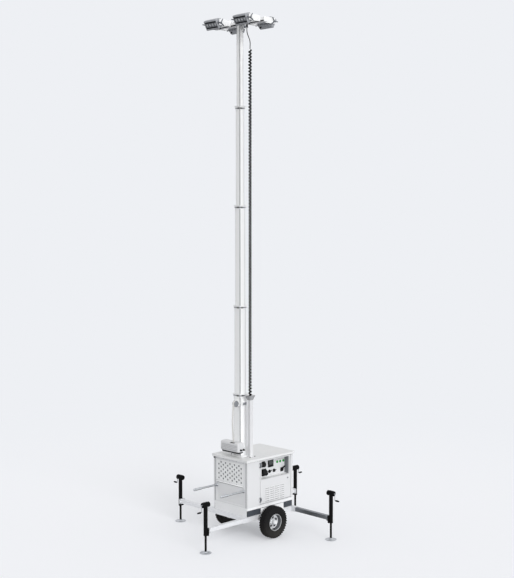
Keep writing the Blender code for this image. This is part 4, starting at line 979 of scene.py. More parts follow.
def make_winch():
    low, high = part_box("winch_housing")
    high = Vector((0.135, high.y, high.z))
    low = Vector((low.x, -0.3973, low.z))
    case = slab("winch_case", low, high)
    bevel(case, 0.026, 6, limit_method="ANGLE")
    slot = slab("winch_slot", (-0.024, -0.395, high.z - 0.014), (0.062, -0.362, high.z + 0.01))
    bevel(slot, 0.005, 2)
    carve(case, slot)
    for row in range(4):
        z = low.z + 0.026 + row * 0.0185
        start = (low.x + 0.018, low.y - 0.004, z)
        carve(case, slab("rib_gap", start, (high.x - 0.018, low.y + GROOVE, z + GROOVE)))
    soften(case, 0.0012, 2, 40)
    seat_piece(case, winch_grey, "root", ("winch_housing",))
    # The groove floors get a darker grey, painted shade in the grooves.
    repaint(case, rubbed_grey, lambda spot, away: away.y < -0.9 and low.y + 0.003 < spot.y < low.y + 0.006)
    # A dark rounded belly under the case, painted shade: it makes the dark crescent of shadow between the case and
    # the lid.
    shade_belly = slab("winch_belly", (low.x + 0.016, low.y + 0.014, low.z - 0.015),
                 (high.x - 0.016, high.y - 0.003, low.z + 0.012))
    seat_piece(soften(shade_belly, 0.0125, 5), dark_inside, "root")
    # A black strip on the slot's floor, painted shade inside the slot.
    slot_shade = slab("winch_slot_lining", (-0.022, -0.393, high.z - 0.0138), (0.06, -0.364, high.z - 0.011))
    seat_piece(slot_shade, seal_rubber, "root")
    glands = []
    for y in (-0.354, -0.308):
        start = Vector((0.133, y, low.z + 0.034))
        gland = stub("gland", start, (0.012, 0, 0), 0.0135, 6)
        bevel(gland, 0.001)
        dome = stub("gland_dome", start + Vector((0.01, 0, 0)), (0.018, 0, 0), 0.012, 28, 0.0065)
        glands += [gland, dome]
    glands = soften(weld_pieces("winch_glands", glands), 0.001, 1)
    seat_piece(glands, black_plastic, "root")


make_winch()

# %% Winch strap, cheek plate and mast clamp
STRAP_W = 0.029
STRAP_T = 0.0022
STRAP_WRAP = 0.033
STRAP_LEAN = 0.016


def strap_along(name, points):
    """A flat strap along a path in an upright plane, with its width along X."""
    points = [Vector(point) for point in points]
    across = Vector((STRAP_W / 2, 0, 0))
    rings = []
    for index, point in enumerate(points):
        before = points[max(index - 1, 0)]
        after = points[min(index + 1, len(points) - 1)]
        lift = (after - before).cross(across).normalized() * STRAP_T / 2
        rings.append((point - across - lift, point + across - lift, point + across + lift, point - across + lift))
    item = mesh_of_rings(name, rings)
    edit_all(item)
    bpy.ops.mesh.normals_make_consistent(inside=False)
    edit_done()
    return soften(item, 0.0004, 1, 60)


def strap_route():
    """Up from the winch in a slack bow, over the pulley and into the mast."""
    x, y, z = pulley_centre
    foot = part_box("winch_housing")[1].z - 0.011
    route = [(x, y - STRAP_WRAP, foot)]
    for step in range(10):
        share = step / 9
        lean = STRAP_LEAN * math.sin(math.pi * share)
        route.append((x, y - STRAP_WRAP - lean, foot + 0.02 + share * (z - foot - 0.02)))
    for step in range(1, 13):
        angle = math.pi * (1 - step / 24)
        route.append((x, y + STRAP_WRAP * math.cos(angle), z + STRAP_WRAP * math.sin(angle)))
    return [*route, (x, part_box("winch_rope")[1].y, z + STRAP_WRAP)]


strap = strap_along("winch_strap", strap_route())
seat_piece(strap, strap_web, "root", ("winch_rope",))
cheek = stub("pulley_cheek", pulley_centre + Vector((pulley_half + 0.005, 0, 0)), (0.0025, 0, 0), 0.034, 48)
seat_piece(soften(cheek, 0.0008), clamp_grey, "root")
clamp_y = MAST_Y + 0.008
clamp_z = pulley_centre.z - 0.006
clamp = slab("mast_clamp", (0.0572, clamp_y - 0.035, clamp_z - 0.0165), (0.0742, clamp_y + 0.035, clamp_z + 0.0165))
soften(clamp, 0.005, 3)
clamp_bolt = soften(stub("clamp_bolt", (0.0735, clamp_y, clamp_z), (0.0075, 0, 0), 0.0085, 6), 0.0008, 1)
seat_piece(weld_pieces("mast_clamp", [clamp_bolt, clamp]), clamp_grey, "root")

# %% [markdown]
# ## The cable tube and the coiled cable
# The power cable is wound like a telephone cord so that it can close up as the mast
# comes down. In the photograph the teeth of its turns show on the right near the foot
# and on the left near the top, which is how an even left-handed screw line looks from
# above and from below.

# %% Tubes along a path
def path_tube(name, points, radius, sides):
    """A closed tube along a list of points, with its rings kept square to the path."""
    points = np.asarray(points, dtype=float)
    tangents = np.gradient(points, axis=0)
    tangents /= np.linalg.norm(tangents, axis=1)[:, None]
    normal = np.cross(tangents[0], (0.0, 0.0, 1.0))
    if np.linalg.norm(normal) < 0.1:
        normal = np.array((1.0, 0.0, 0.0))
    normal /= np.linalg.norm(normal)
    angles = np.linspace(0, 2 * math.pi, sides, endpoint=False)
    rings = []
    for point, tangent in zip(points, tangents):
        normal = normal - tangent * normal.dot(tangent)
        normal /= np.linalg.norm(normal)
        side = np.cross(tangent, normal)
        rings.append((point + radius * (np.cos(angles)[:, None] * normal + np.sin(angles)[:, None] * side)).tolist())
    item = mesh_of_rings(name, rings)
    round_faces = len(item.data.polygons) - 2
    item.data.polygons.foreach_set("use_smooth", [True] * round_faces + [False] * 2)
    return item


# %% Coiled cable
CABLE_D = 0.019
COIL_PITCH = 0.0387
COIL_STEPS = 24
COIL_OUTER = 0.0446
coil_low, coil_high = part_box("coil_cable")
coil_axis = (coil_low + coil_high) / 2
coil_reach = COIL_OUTER / 2 - CABLE_D / 2
coil_start = coil_low.z + CABLE_D / 2 + 0.001
coil_end = coil_high.z - CABLE_D / 2 - 0.001
coil_turns = round((coil_end - coil_start) / COIL_PITCH)
coil_points = []
for step in range(coil_turns * COIL_STEPS + 1):
    side = -2 * math.pi * step / COIL_STEPS
    height = coil_start + (coil_end - coil_start) * step / (coil_turns * COIL_STEPS)
    across, along = coil_reach * math.cos(side), coil_reach * math.sin(side)
    coil_points.append((coil_axis.x + across, coil_axis.y + along, height))
coil = path_tube("coiled_cable", coil_points, CABLE_D / 2, 10)
seat_piece(coil, cable_rubber, "root", ("coil_cable",))
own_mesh(coil)

# %% [markdown]
# The lead from the top of the coil up to the bar hangs in a slack wave. Its points
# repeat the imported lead's route, with more of them for a smooth bend.

# %% Lead to the lamp bar
LEAD_D = 0.01
LEAD_SHIFT = (-0.036, -0.015)
LEAD_WAVE = 0.014
lead_low = coil_high.z + 0.0003
lead_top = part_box("coil_lead")[1].z
lead_points = []
for step in range(61):
    share = step / 60
    swell = math.sin(share * math.pi * 2) * math.sin(share * math.pi) * LEAD_WAVE
    ease = share * share * (3 - 2 * share)
    lead_points.append((coil_axis.x + LEAD_SHIFT[0] * ease + swell, coil_axis.y + LEAD_SHIFT[1] * ease,
                        lead_low + share * (lead_top - lead_low)))
lead = path_tube("lamp_lead", lead_points, LEAD_D / 2, 16)
seat_piece(lead, cable_rubber, "mast_head", ("coil_lead",))
tube = skin("cable_tube", funnel_grey, 0.001)
# Downward faces near the tube's top get a darker grey, painted shade under the flare.
repaint(tube, rubbed_grey, lambda spot, away: spot.z > 1.6 and -0.95 < away.z < -0.15)
plate_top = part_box("cabinet_lid")[1].z
feed_low, feed_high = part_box("cable_tube")
feed_axis = (feed_low + feed_high) / 2
lid_bolts = []
for x, y in ((-0.04, -0.04), (-0.04, 0.04), (0.04, -0.04), (0.04, 0.04)):
    lid_bolts.append(stub("bolt", (feed_axis.x + x, feed_axis.y + y, plate_top), (0, 0, 0.007), 0.0075, 6))
for x, y in ((-0.078, -0.078), (-0.078, 0.078), (0.0, 0.08)):
    lid_bolts.append(stub("bolt", (x, MAST_Y + y, plate_top + 0.0083), (0, 0, 0.007), 0.008, 6))
seat_piece(soften(weld_pieces("lid_bolts", lid_bolts), 0.0008, 1), jack_black, "root")

# %% [markdown]
# ## Louvres, grille and seams
# Louvres are pressed out of the sheet, so each slot has a little hood that sheds rain.
# One hood is a thin slab whose upper edge is squeezed back to the sheet, and two arrays
# repeat it over the field. That keeps every hood equal and the pitch exact. The dark
# slots under the hoods are spread by the same function.

# %% Louvre hoods
LOUVRE_COLUMNS, LOUVRE_ROWS = 4, 7
LOUVRE_PITCH = 0.088
SIDE_RISE = 0.026
REAR_RISE = 0.052


def field_of(item, *runs):
    """Repeat a piece along one or two runs, each given as a count and a step."""
    for count, step in runs:
        apply_modifier(item, "ARRAY", count=count, use_relative_offset=False, use_constant_offset=True,
                       constant_offset_displace=step)
    return item


def make_hood():
    """One hood on the plane x = 0, facing +X, over a slot at the origin."""
    hood = slab("hood", (-0.0004, -0.035, -0.0008), (0.0048, 0.035, 0.0112))
    taper(hood, towards(0, 0, 1), (0.06, 0.9, 1), (-0.0004, 0, 0.0112))
    return soften(hood, 0.0016, 3, 20)


def make_slot():
    """The shaded gap that shows under a hood's lip."""
    return slab("slot", (-0.0003, -0.0335, -0.006), (0.0007, 0.0335, -0.0007))


def spread_louvres(name, item, material):
    """Repeat one louvre piece over both doors and the rear panel."""
    half_span = LOUVRE_PITCH * (LOUVRE_COLUMNS - 1) / 2
    half_rows = (LOUVRE_ROWS - 1) / 2
    rear = twin(item, name + "_rear", Matrix.Rotation(math.pi / 2, 4, "Z"))
    field_of(item, (LOUVRE_COLUMNS, (0, LOUVRE_PITCH, 0)), (LOUVRE_ROWS, (0, 0, SIDE_RISE)))
    item.data.transform(Matrix.Translation((0.3, 0.078 - half_span, 0.526 - half_rows * SIDE_RISE)))
    left = twin(item, name + "_left", HALF_TURN)
    item.name = name + "_right"
    field_of(rear, (LOUVRE_COLUMNS, (LOUVRE_PITCH, 0, 0)), (LOUVRE_ROWS, (0, 0, REAR_RISE)))
    rear.data.transform(Matrix.Translation((-half_span, 0.4, 0.7004 - half_rows * REAR_RISE)))
    seat_piece(item, material, body_of_node["louvres_right"])
    seat_piece(left, material, body_of_node["louvres_left"])
    seat_piece(rear, material, "root")
    return item


hood = spread_louvres("hoods", make_hood(), cabinet_grey)
spread_louvres("louvre_slots", make_slot(), dark_inside)

# %% [markdown]
# The air grille is a punched plate. The punch is a field of round bars, cut out in two
# passes because the columns are staggered. A paler sheet behind it keeps the holes from
# looking bottomless, as on the real machine where a baffle catches the rain.

# %% Air grille
GRILLE_LOW = Vector((-0.25, -0.4, 0.6774))
GRILLE_HIGH = Vector((0.23, -0.396, 0.9394))
PUNCH_RADIUS = 0.0125
PUNCH_PITCH = 0.08
PUNCH_RISE = 0.058
grille = slab("grille", GRILLE_LOW, GRILLE_HIGH)
grille_middle = (GRILLE_LOW + GRILLE_HIGH) / 2
for first, count, shift in ((-0.2, 6, -0.0145), (-0.16, 5, 0.0145)):
    start = (grille_middle.x + first, -0.42, grille_middle.z + shift - 1.5 * PUNCH_RISE)
    punch = stub("punch", start, (0, 0.04, 0), PUNCH_RADIUS)
    carve(grille, field_of(punch, (count, (PUNCH_PITCH, 0, 0)), (4, (0, 0, PUNCH_RISE))))
# The grille's paler grey is painted light against the shade under the lid's overhang.
seat_piece(soften(grille, 0.0007, 2, 40), grille_grey, "root", ("front_grille",))
baffle = slab("grille_baffle", (-0.249, -0.388, 0.6784), (0.229, -0.3865, 0.9384))
seat_piece(baffle, baffle_grey, "root")

# %% Seams and rivets, with painted shadows under the lid and the ledge and a painted highlight on the ledge's lip
seams = []
for x in (-0.2752, 0.2752):
    for y in (-0.4, 0.4):
        seams.append(slab("seam", (x - 0.0045, y - 0.0003, 0.4062), (x + 0.0045, y + 0.0003, 0.994)))
# A grey ring just under the lid's rim, painted shadow of the lid's overhang.
lid_seal = slab("lid_seal", (-0.301, -0.401, 0.9625), (0.301, 0.401, 0.97))
carve(lid_seal, slab("cutter", (-0.299, -0.399, 0.96), (0.299, 0.399, 0.98)))
seams.append(lid_seal)
seams = weld_pieces("corner_seams", seams)
seat_piece(seams, baffle_grey, "root")
# A dark strip under the ledge, painted shadow cast by the ledge.
ledge_seam = slab("ledge_seam", (-0.25, -0.3955, 0.648), (0.23, -0.3935, 0.6576))
seat_piece(ledge_seam, rubbed_dark, "root")
# The ledge's lip is white, paler than the panel: a painted highlight along the ledge.
lip = slab("ledge_lip", (-0.2502, -0.4088, 0.6568), (0.2302, -0.3998, 0.6688))
seat_piece(soften(lip, 0.0012), mast_white, "root")
# A dark block under the lid's front-left corner, painted shadow of the lid there.
corner_shadow_block = slab("lid_latch", (-0.292, -0.415, 0.948), (-0.27, -0.3995, 0.968))
seat_piece(soften(corner_shadow_block, 0.0025), dark_inside, "root")
rivet = bar("rivets", (0, 0, 0), (0, -0.0022, 0), 0.0042, 16)
edit_faces(rivet, towards(0, -1, 0))
bpy.ops.mesh.bevel(offset=0.0016, segments=2, affect="EDGES")
edit_done()
field_of(rivet, (5, (0.118, 0, 0)), (2, (0, 0, 0.283)))
rivet.data.transform(Matrix.Translation((-0.246, -0.3998, 0.664 + 0.0095)))
seat_piece(rivet, baffle_grey, "root")
print("hoods", len(hood.data.polygons), "grille", len(grille.data.polygons))

# %% [markdown]
# ## Hinges and lock
# Each hinge has a knuckle on the door between two on the frame. They are separate
# sleeves so that the middle one turns with the door.

# %% Hinges and lock
HINGE_AXIS = (0.308, -0.18)
HINGE_HEIGHTS = (0.479, 0.9094)
SLEEVE_RADIUS = 0.0084


def make_hinge_parts(moving):
    """The sleeves and leaf screws of both hinges that belong to one side of the joint."""
    made = []
    for height in HINGE_HEIGHTS:
        spans = ((-0.0147, 0.0147),) if moving else ((-0.0302, -0.0158), (0.0158, 0.0302))
        for low, high in spans:
            sleeve = bar("sleeve", (*HINGE_AXIS, height + low), (*HINGE_AXIS, height + high), SLEEVE_RADIUS, 28)
            bevel(sleeve, 0.001, 2, limit_method="ANGLE")
            made.append(sleeve)
        side = 1 if moving else -1
        edges = sorted(HINGE_AXIS[1] + side * reach for reach in (0.008, 0.02))
        for low, high in spans:
            leaf = slab("leaf", (0.307, edges[0], height + low), (0.3087, edges[1], height + high))
            made.append(soften(leaf, 0.0005, 1))
        for step in ((-0.009, 0.009) if moving else (-0.023, 0.023)):
            spot = (0.3084, HINGE_AXIS[1] + side * 0.015, height + step)
            made.append(stub("screw", spot, (0.0016, 0, 0), 0.0032, 16))
    return smooth(weld_pieces("hinge_sleeves", made))


def make_lock():
    centre = Vector((0.3035, 0.305, 0.6756))
    barrel = stub("lock_barrel", centre, (0.0034, 0, 0), 0.0095, 32)
    keyway = slab("keyway", centre + Vector((0.0024, -0.0009, -0.005)), centre + Vector((0.006, 0.0009, 0.005)))
    carve(barrel, keyway)
    return soften(barrel, 0.0006)


def seat_both_sides(item, node):
    """Seat a piece on the right side and its half turn on the left."""
    other = twin(item, item.name + "_left", HALF_TURN)
    seat_piece(item, hinge_grey, body_of_node[node + "right"])
    seat_piece(other, hinge_grey, body_of_node[node + "left"])


seat_both_sides(make_hinge_parts(True), "door_")
seat_both_sides(make_lock(), "door_")
seat_both_sides(make_hinge_parts(False), "cabinet_side_")

# %% [markdown]
# ## Control panel
# The tray is a box with its front face inset and pushed back. Most devices on it are
# black plastic: two sockets with spring lids, a display, two turn switches and a lever.
# Three lights are green. Each stands off the pale back plate so that it casts a shadow.

# %% Tray
TRAY_LOW = Vector((0.212, -0.157, 0.7214))
TRAY_HIGH = Vector((0.269, 0.341, 0.9474))
TRAY_WALL = 0.006


def make_tray():
    wall = Vector((TRAY_WALL, TRAY_WALL, TRAY_WALL))
    tray = slab("control_tray", TRAY_LOW - wall, TRAY_HIGH + Vector((0, TRAY_WALL, TRAY_WALL)))
    recess(tray, towards(1, 0, 0), TRAY_WALL, (TRAY_LOW.x - TRAY_HIGH.x, 0, 0))
    soften(tray, 0.0012)
    ear = slab("tray_ear", (0.257, -0.204, TRAY_LOW.z), (0.2745, -0.163, TRAY_HIGH.z))
    return weld_pieces("control_tray", [soften(ear, 0.0008, 1), tray])


tray = seat_piece(make_tray(), tray_grey, "root", ("control_panel",))
# The tray floor's upward faces get the pale lid white: painted light on the lit face.
repaint(tray, lid_white, lambda spot, away: away.z > 0.5 and spot.z < TRAY_LOW.z + 0.002 and spot.y > TRAY_LOW.y)
PLATE_X = 0.2132
plate = slab("control_plate", (0.2118, -0.1564, 0.722), (PLATE_X, 0.3404, 0.9468))
seat_piece(soften(plate, 0.0004, 1), cabinet_grey, "root")


# %% Sockets
def make_socket(y, z, size, lift):
    """A square flange, a round body and a spring lid that stands open by an angle."""
    half = size / 2
    flange = slab("flange", (PLATE_X, y - half, z - half), (PLATE_X + 0.006, y + half, z + half))
    taper(flange, towards(1, 0, 0), (1, 0.94, 0.94), (PLATE_X, y, z))
    bevel(flange, 0.004, 3, limit_method="ANGLE")
    centre = Vector((PLATE_X + 0.004, y, z))
    body = spun("body", [
        (half * 0.6, 0.0), (half * 0.84, 0.0), (half * 0.8, 0.014), (half * 0.72, 0.0165), (half * 0.66, 0.0155),
        (half * 0.6, 0.006),
    ], centre, (1, 0, 0), 40)
    made = [flange, body, stub("insert", centre, (0.007, 0, 0), half * 0.62, 40)]
    for angle in (90, 210, 330):
        across, along = math.cos(math.radians(angle)), math.sin(math.radians(angle))
        spot = centre + Vector((0.006, across * half * 0.32, along * half * 0.32))
        made.append(stub("contact", spot, (0.0035, 0, 0), half * 0.1, 16))
    hinge = Vector((PLATE_X + 0.017, y, z + half * 0.86))
    lid = spun("lid", [
        (0.0, 0.0), (half * 0.84, 0.0), (half * 0.88, 0.0015), (half * 0.86, 0.0055), (half * 0.7, 0.008),
        (0.0, 0.009),
    ], (PLATE_X + 0.0215, y, z), (1, 0, 0), 40)
    lid.data.transform(turn_about(hinge, -lift, "Y"))
    barrel = bar("barrel", hinge - Vector((0, half * 0.42, 0)), hinge + Vector((0, half * 0.42, 0)), 0.0045, 20)
    post = slab("post", hinge - Vector((0.014, half * 0.3, 0.005)), hinge + Vector((0.002, half * 0.3, 0.002)))
    made += [lid, barrel, post]
    return weld_pieces("socket", made)


sockets = weld_pieces("sockets", [make_socket(-0.0499, 0.8841, 0.074, 8), make_socket(-0.038, 0.7802, 0.092, 24)])
seat_piece(smooth(sockets), black_plastic, "root")


# %% Display, switches and lever
def make_display():
    y, z = 0.086, 0.8819
    bezel = slab("bezel", (PLATE_X, y - 0.045, z - 0.048), (PLATE_X + 0.012, y + 0.045, z + 0.048))
    recess(bezel, towards(1, 0, 0), 0.007, (-0.0015, 0, 0))
    soften(bezel, 0.0015)
    keys = slab("keys", (PLATE_X + 0.01, y - 0.033, z - 0.037), (PLATE_X + 0.0125, y - 0.023, z - 0.029))
    field_of(soften(keys, 0.0008, 1), (5, (0, 0.014, 0)))
    screen = slab("screen", (PLATE_X + 0.0095, y - 0.034, z - 0.02), (PLATE_X + 0.0115, y + 0.034, z + 0.036))
    return weld_pieces("display", [keys, bezel]), soften(screen, 0.0006, 1)


def make_switch(y, z, turn):
    """A turn switch: a stepped disc with a flat handle across it."""
    centre = Vector((PLATE_X, y, z))
    disc = spun("disc", [
        (0.0, 0.0), (0.0215, 0.0), (0.0215, 0.004), (0.018, 0.0055), (0.0165, 0.013), (0.015, 0.0145),
        (0.0, 0.0145),
    ], centre, (1, 0, 0), 36)
    handle = slab("handle", centre + Vector((0.012, -0.0052, -0.015)), centre + Vector((0.0235, 0.0052, 0.029)))
    taper(handle, towards(0, 0, 1), (0.75, 0.7, 1), centre + Vector((0.012, 0, 0.029)))
    soften(handle, 0.0022, 3)
    handle.data.transform(turn_about(centre, turn, "X"))
    return [disc, handle]


def make_lever():
    """The main switch: a base, a boss and a long curved handle."""
    base = slab("base", (PLATE_X, 0.264, 0.744), (PLATE_X + 0.01, 0.308, 0.796))
    boss = stub("boss", (PLATE_X + 0.008, 0.285, 0.768), (0.016, 0, 0), 0.0165, 32)
    route = ((0.018, 0.284, 0.764), (0.021, 0.288, 0.78), (0.024, 0.298, 0.796), (0.026, 0.312, 0.806),
             (0.027, 0.327, 0.81))
    handle = path_tube("lever", [(PLATE_X + x, y, z) for x, y, z in route], 0.009, 16)
    bevel(handle, 0.003, 3, limit_method="ANGLE", angle_limit=math.radians(50))
    return [soften(base, 0.004, 3), soften(boss, 0.002), handle]


display, screen = make_display()
seat_piece(display, black_plastic, "root")
seat_piece(screen, screen_glass, "root")
switches = weld_pieces("switches", make_switch(0.0691, 0.7779, -58) + make_switch(0.1488, 0.7779, -72) + make_lever())
seat_piece(smooth(switches), black_plastic, "root")

# %% Green lights and panel screws
LIGHTS = (
    # name, material, slot, outline
    ("light_rings", rim_silver, "rim_silver",
     [(0.015, 0.0), (0.019, 0.0), (0.019, 0.003), (0.0182, 0.0042), (0.015, 0.0042)]),
    ("green_lights", green_lens, None,
     [(0.0, 0.001), (0.0172, 0.001), (0.0172, 0.007), (0.015, 0.0105), (0.0096, 0.0128), (0.0, 0.0137)]),
)
for name, material, slot, outline in LIGHTS:
    made = [spun("light", outline, (PLATE_X, y, 0.8796), (1, 0, 0), 32) for y in (0.2021, 0.2568, 0.3136)]
    seat_piece(weld_pieces(name, made), material, "root")
screws = stub("panel_screws", (PLATE_X - 0.0005, -0.1475, 0.731), (0.0023, 0, 0), 0.0034, 20)
field_of(soften(screws, 0.0006, 1), (3, (0, 0.2395, 0)), (2, (0, 0, 0.2068)))
seat_piece(screws, bolt_zinc, "root")
print("control pieces done")

# %% [markdown]
# ## Push handles
# Two tubes stand out from the front panel. Each is a plain bar with a small bolted plate
# and a weld at its foot. Its grip is a turned sleeve with shallow rings and a closed end.

# %% Push handles
def make_handle(x):
    low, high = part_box("push_handle_right")
    height = (low.z + high.z) / 2
    root = high.y
    tube = bar("handle_tube", (x, root - 0.002, height), (x, root - 0.33, height), 0.0122, 36)
    flange = slab("flange", (x - 0.017, root - 0.006, height - 0.021), (x + 0.017, root, height + 0.021))
    bevel(flange, 0.003, 2)
    weld = spun("weld", [(0.012, 0.004), (0.0165, 0.0055), (0.015, 0.0085), (0.012, 0.0105)],
                (x, root, height), (0, -1, 0), 36)
    tip = low.y
    length = root - 0.27 - tip
    outline = [(0.012, 0.0), (0.015, 0.0), (0.0155, 0.004)]
    for index in range(9):
        start = 0.012 + index * (length - 0.03) / 9
        outline += [(0.0155, start), (0.0146, start + 0.0015), (0.0146, start + 0.003), (0.0155, start + 0.0045)]
    outline += [(0.0155, length - 0.008), (0.0135, length - 0.002), (0.01, length), (0.0, length)]
    grip = spun("grip", [(0.0, 0.0)] + outline, (x, root - 0.27, height), (0, -1, 0), 36)
    handle = weld_pieces("push_handle", [flange, weld, tube, grip])
    bolts = []
    for z in (-0.016, 0.016):
        for side in (-0.0125, 0.0125):
            bolts.append(stub("bolt", (x + side, root - 0.0055, height + z), (0, -0.003, 0), 0.003, 6))
    return handle, weld_pieces("handle_bolts", bolts)


for side, x in (("right", 0.24), ("left", -0.24)):
    handle, bolts = make_handle(x)
    handle.name = "push_handle_new_" + side
    seat_piece(smooth(handle), handle_zinc, "root", ("push_handle_" + side,))
    # Downward faces get the dark grey, painted shade under the handle.
    repaint(handle, rubbed_dark, lambda spot, away: away.z < -0.35)
    seat_piece(bolts, clamp_grey, "root")

# %% [markdown]
# ## Floodlights
# All four lamp heads are one head, modelled at the origin facing -Y about its pivot and
# then placed by a matrix. The window is an inset face pushed back into the case. Inside
# it a raised tray carries four lenses, and the gaps above and below the tray stay dark.

# %% Lamp head sizes
HEAD_HALF_W = 0.113
HEAD_HALF_H = 0.064
HEAD_FRONT = -0.045
HEAD_BACK = 0.028
WINDOW_HALF_W = 0.101
WINDOW_HALF_H = 0.043
LAMP_LENSES = 4
LENS_PITCH = 0.0465
LAMP_FINS = 8
FIN_STEP = 0.0266
KNOB_ARMS = (30, 152, 297)
KNOB_REACH = 0.056


# %% Lamp head
def make_head():
    case = slab("case", (-HEAD_HALF_W, HEAD_FRONT, -HEAD_HALF_H), (HEAD_HALF_W, HEAD_BACK, HEAD_HALF_H))
    taper(case, towards(0, 1, 0), (0.95, 1, 0.86), (0, HEAD_BACK, 0))
    bevel(case, 0.015, 5, limit_method="ANGLE")
    pocket = slab("pocket", (-WINDOW_HALF_W, HEAD_FRONT - 0.01, -WINDOW_HALF_H),
                  (WINDOW_HALF_W, HEAD_FRONT + 0.014, WINDOW_HALF_H))
    bevel(pocket, 0.004, 3)
    carve(case, pocket)
    rim = slab("rim", (-WINDOW_HALF_W - 0.004, HEAD_FRONT - 0.0014, -WINDOW_HALF_H - 0.004),
               (WINDOW_HALF_W + 0.004, HEAD_FRONT + 0.003, WINDOW_HALF_H + 0.004))
    hole = slab("hole", (-WINDOW_HALF_W + 0.001, HEAD_FRONT - 0.02, -WINDOW_HALF_H + 0.001),
                (WINDOW_HALF_W - 0.001, HEAD_FRONT + 0.02, WINDOW_HALF_H - 0.001))
    carve(rim, hole)
    soften(rim, 0.0008, 1)
    soften(case, 0.0006, 1, 50)
    fin = slab("fins", (-0.002, HEAD_BACK - 0.004, -0.0535), (0.002, HEAD_BACK + 0.0255, 0.0535))
    taper(fin, towards(0, 1, 0), (0.7, 1, 0.8), (0, HEAD_BACK + 0.0255, 0))
    field_of(soften(fin, 0.0009), (LAMP_FINS, (FIN_STEP, 0, 0)))
    fin.data.transform(Matrix.Translation((-FIN_STEP * (LAMP_FINS - 1) / 2, 0, 0)))
    made = [rim, fin]
    for side in (-1, 1):
        boss = stub("boss", (side * (HEAD_HALF_W - 0.006), 0, 0), (side * 0.016, 0, 0), 0.013, 28, 0.0118)
        made.append(soften(boss, 0.001))
    for x in (-0.104, 0.104):
        for z in (-0.053, 0.053):
            made.append(stub("screw", (x, HEAD_FRONT + 0.003, z), (0, -0.0042, 0), 0.0036, 16))
    return smooth(weld_pieces("lamp_head", [*made, case]))


def make_pocket_floor():
    """The dark sheet behind the lens tray."""
    wide = WINDOW_HALF_W - 0.0015
    tall = WINDOW_HALF_H - 0.0015
    return smooth(slab("lamp_pocket", (-wide, HEAD_FRONT + 0.0115, -tall), (wide, HEAD_FRONT + 0.0136, tall)))


def make_lens_tray():
    tray = slab("lens_tray", (-0.096, HEAD_FRONT + 0.002, -0.0245), (0.096, HEAD_FRONT + 0.012, 0.0245))
    recess(tray, towards(0, -1, 0), 0.0025, (0, 0.003, 0))
    soften(tray, 0.0008)
    rib = slab("ribs", (-0.0012, HEAD_FRONT + 0.002, -0.023), (0.0012, HEAD_FRONT + 0.009, 0.023))
    field_of(rib, (LAMP_LENSES - 1, (LENS_PITCH, 0, 0)))
    rib.data.transform(Matrix.Translation((-LENS_PITCH * (LAMP_LENSES - 2) / 2, 0, 0)))
    return smooth(weld_pieces("lens_tray", [rib, tray]))


def make_lenses():
    outline = [
        (0.0, 0.0085), (0.008, 0.008), (0.014, 0.0062), (0.018, 0.0034), (0.0192, 0.001), (0.0192, -0.001),
        (0.0, -0.001),
    ]
    made = []
    for index in range(LAMP_LENSES):
        x = (index - (LAMP_LENSES - 1) / 2) * LENS_PITCH
        made.append(spun("lens", outline, (x, HEAD_FRONT + 0.01, 0), (0, -1, 0), 36))
    return smooth(weld_pieces("lamp_lenses", made))


def make_knobs():
    """A clamping nut with three long arms outside each yoke plate."""
    made = []
    for side in (-1, 1):
        start = HEAD_HALF_W + 0.015
        made.append(soften(stub("knob", (side * start, 0, 0), (side * 0.016, 0, 0), 0.011), 0.0015))
        for angle in KNOB_ARMS:
            reach = Vector((0, math.cos(math.radians(angle)), math.sin(math.radians(angle)))) * KNOB_REACH
            arm = stub("arm", (side * (start + 0.008), 0, 0), reach, 0.0068, 16, 0.0056)
            made.append(soften(arm, 0.0012))
    return smooth(weld_pieces("tilt_knobs", made))


def make_gland():
    """The cable gland under the case, with the start of the lamp's own lead."""
    nut = stub("gland", (0.07, 0.006, -HEAD_HALF_H + 0.006), (0, 0, -0.015), 0.0095, 6)
    dome = stub("dome", (0.07, 0.006, -HEAD_HALF_H - 0.008), (0, 0, -0.01), 0.0085, 24, 0.005)
    return smooth(soften(weld_pieces("lamp_gland", [nut, dome]), 0.0008, 1))


# Name, outward turn in degrees, place of the pivot
LAMP_PLACES = (
    ("front_left", 0, (-0.255, -0.43, 6.292)),
    ("front_right", 0, (0.255, -0.43, 6.292)),
    ("rear_left", 180, (-0.255, -0.03, 6.292)),
    ("rear_right", 180, (0.255, -0.03, 6.292)),
)
LAMP_TILT = Matrix.Rotation(math.radians(28), 4, "X")
LAMP_PIECES = (
    # maker, material, slot, body, node
    (make_head, lamp_grey, "lamp_housing", "lamp_", "floodlight_"),
    (make_pocket_floor, dark_inside, None, "lamp_", None),
    (make_lens_tray, lens_tray_grey, None, "lamp_", None),
    (make_lenses, lens_clear, None, "lamp_", None),
    (make_knobs, hinge_grey, "zinc", "lamp_", None),
    (make_gland, black_plastic, "cable_rubber", "lamp_", None),
)
seat_copies(LAMP_PIECES, LAMP_PLACES, LAMP_TILT)
print("lamp pieces", len(LAMP_PIECES) * len(LAMP_PLACES))

# %% [markdown]
# The bar is an open channel. Its small parts are the gland where the lead comes in, the
# gussets that stiffen the mast's head, and a black strip along the foot of its front
# face, which is painted shadow of the bar's dark underside.

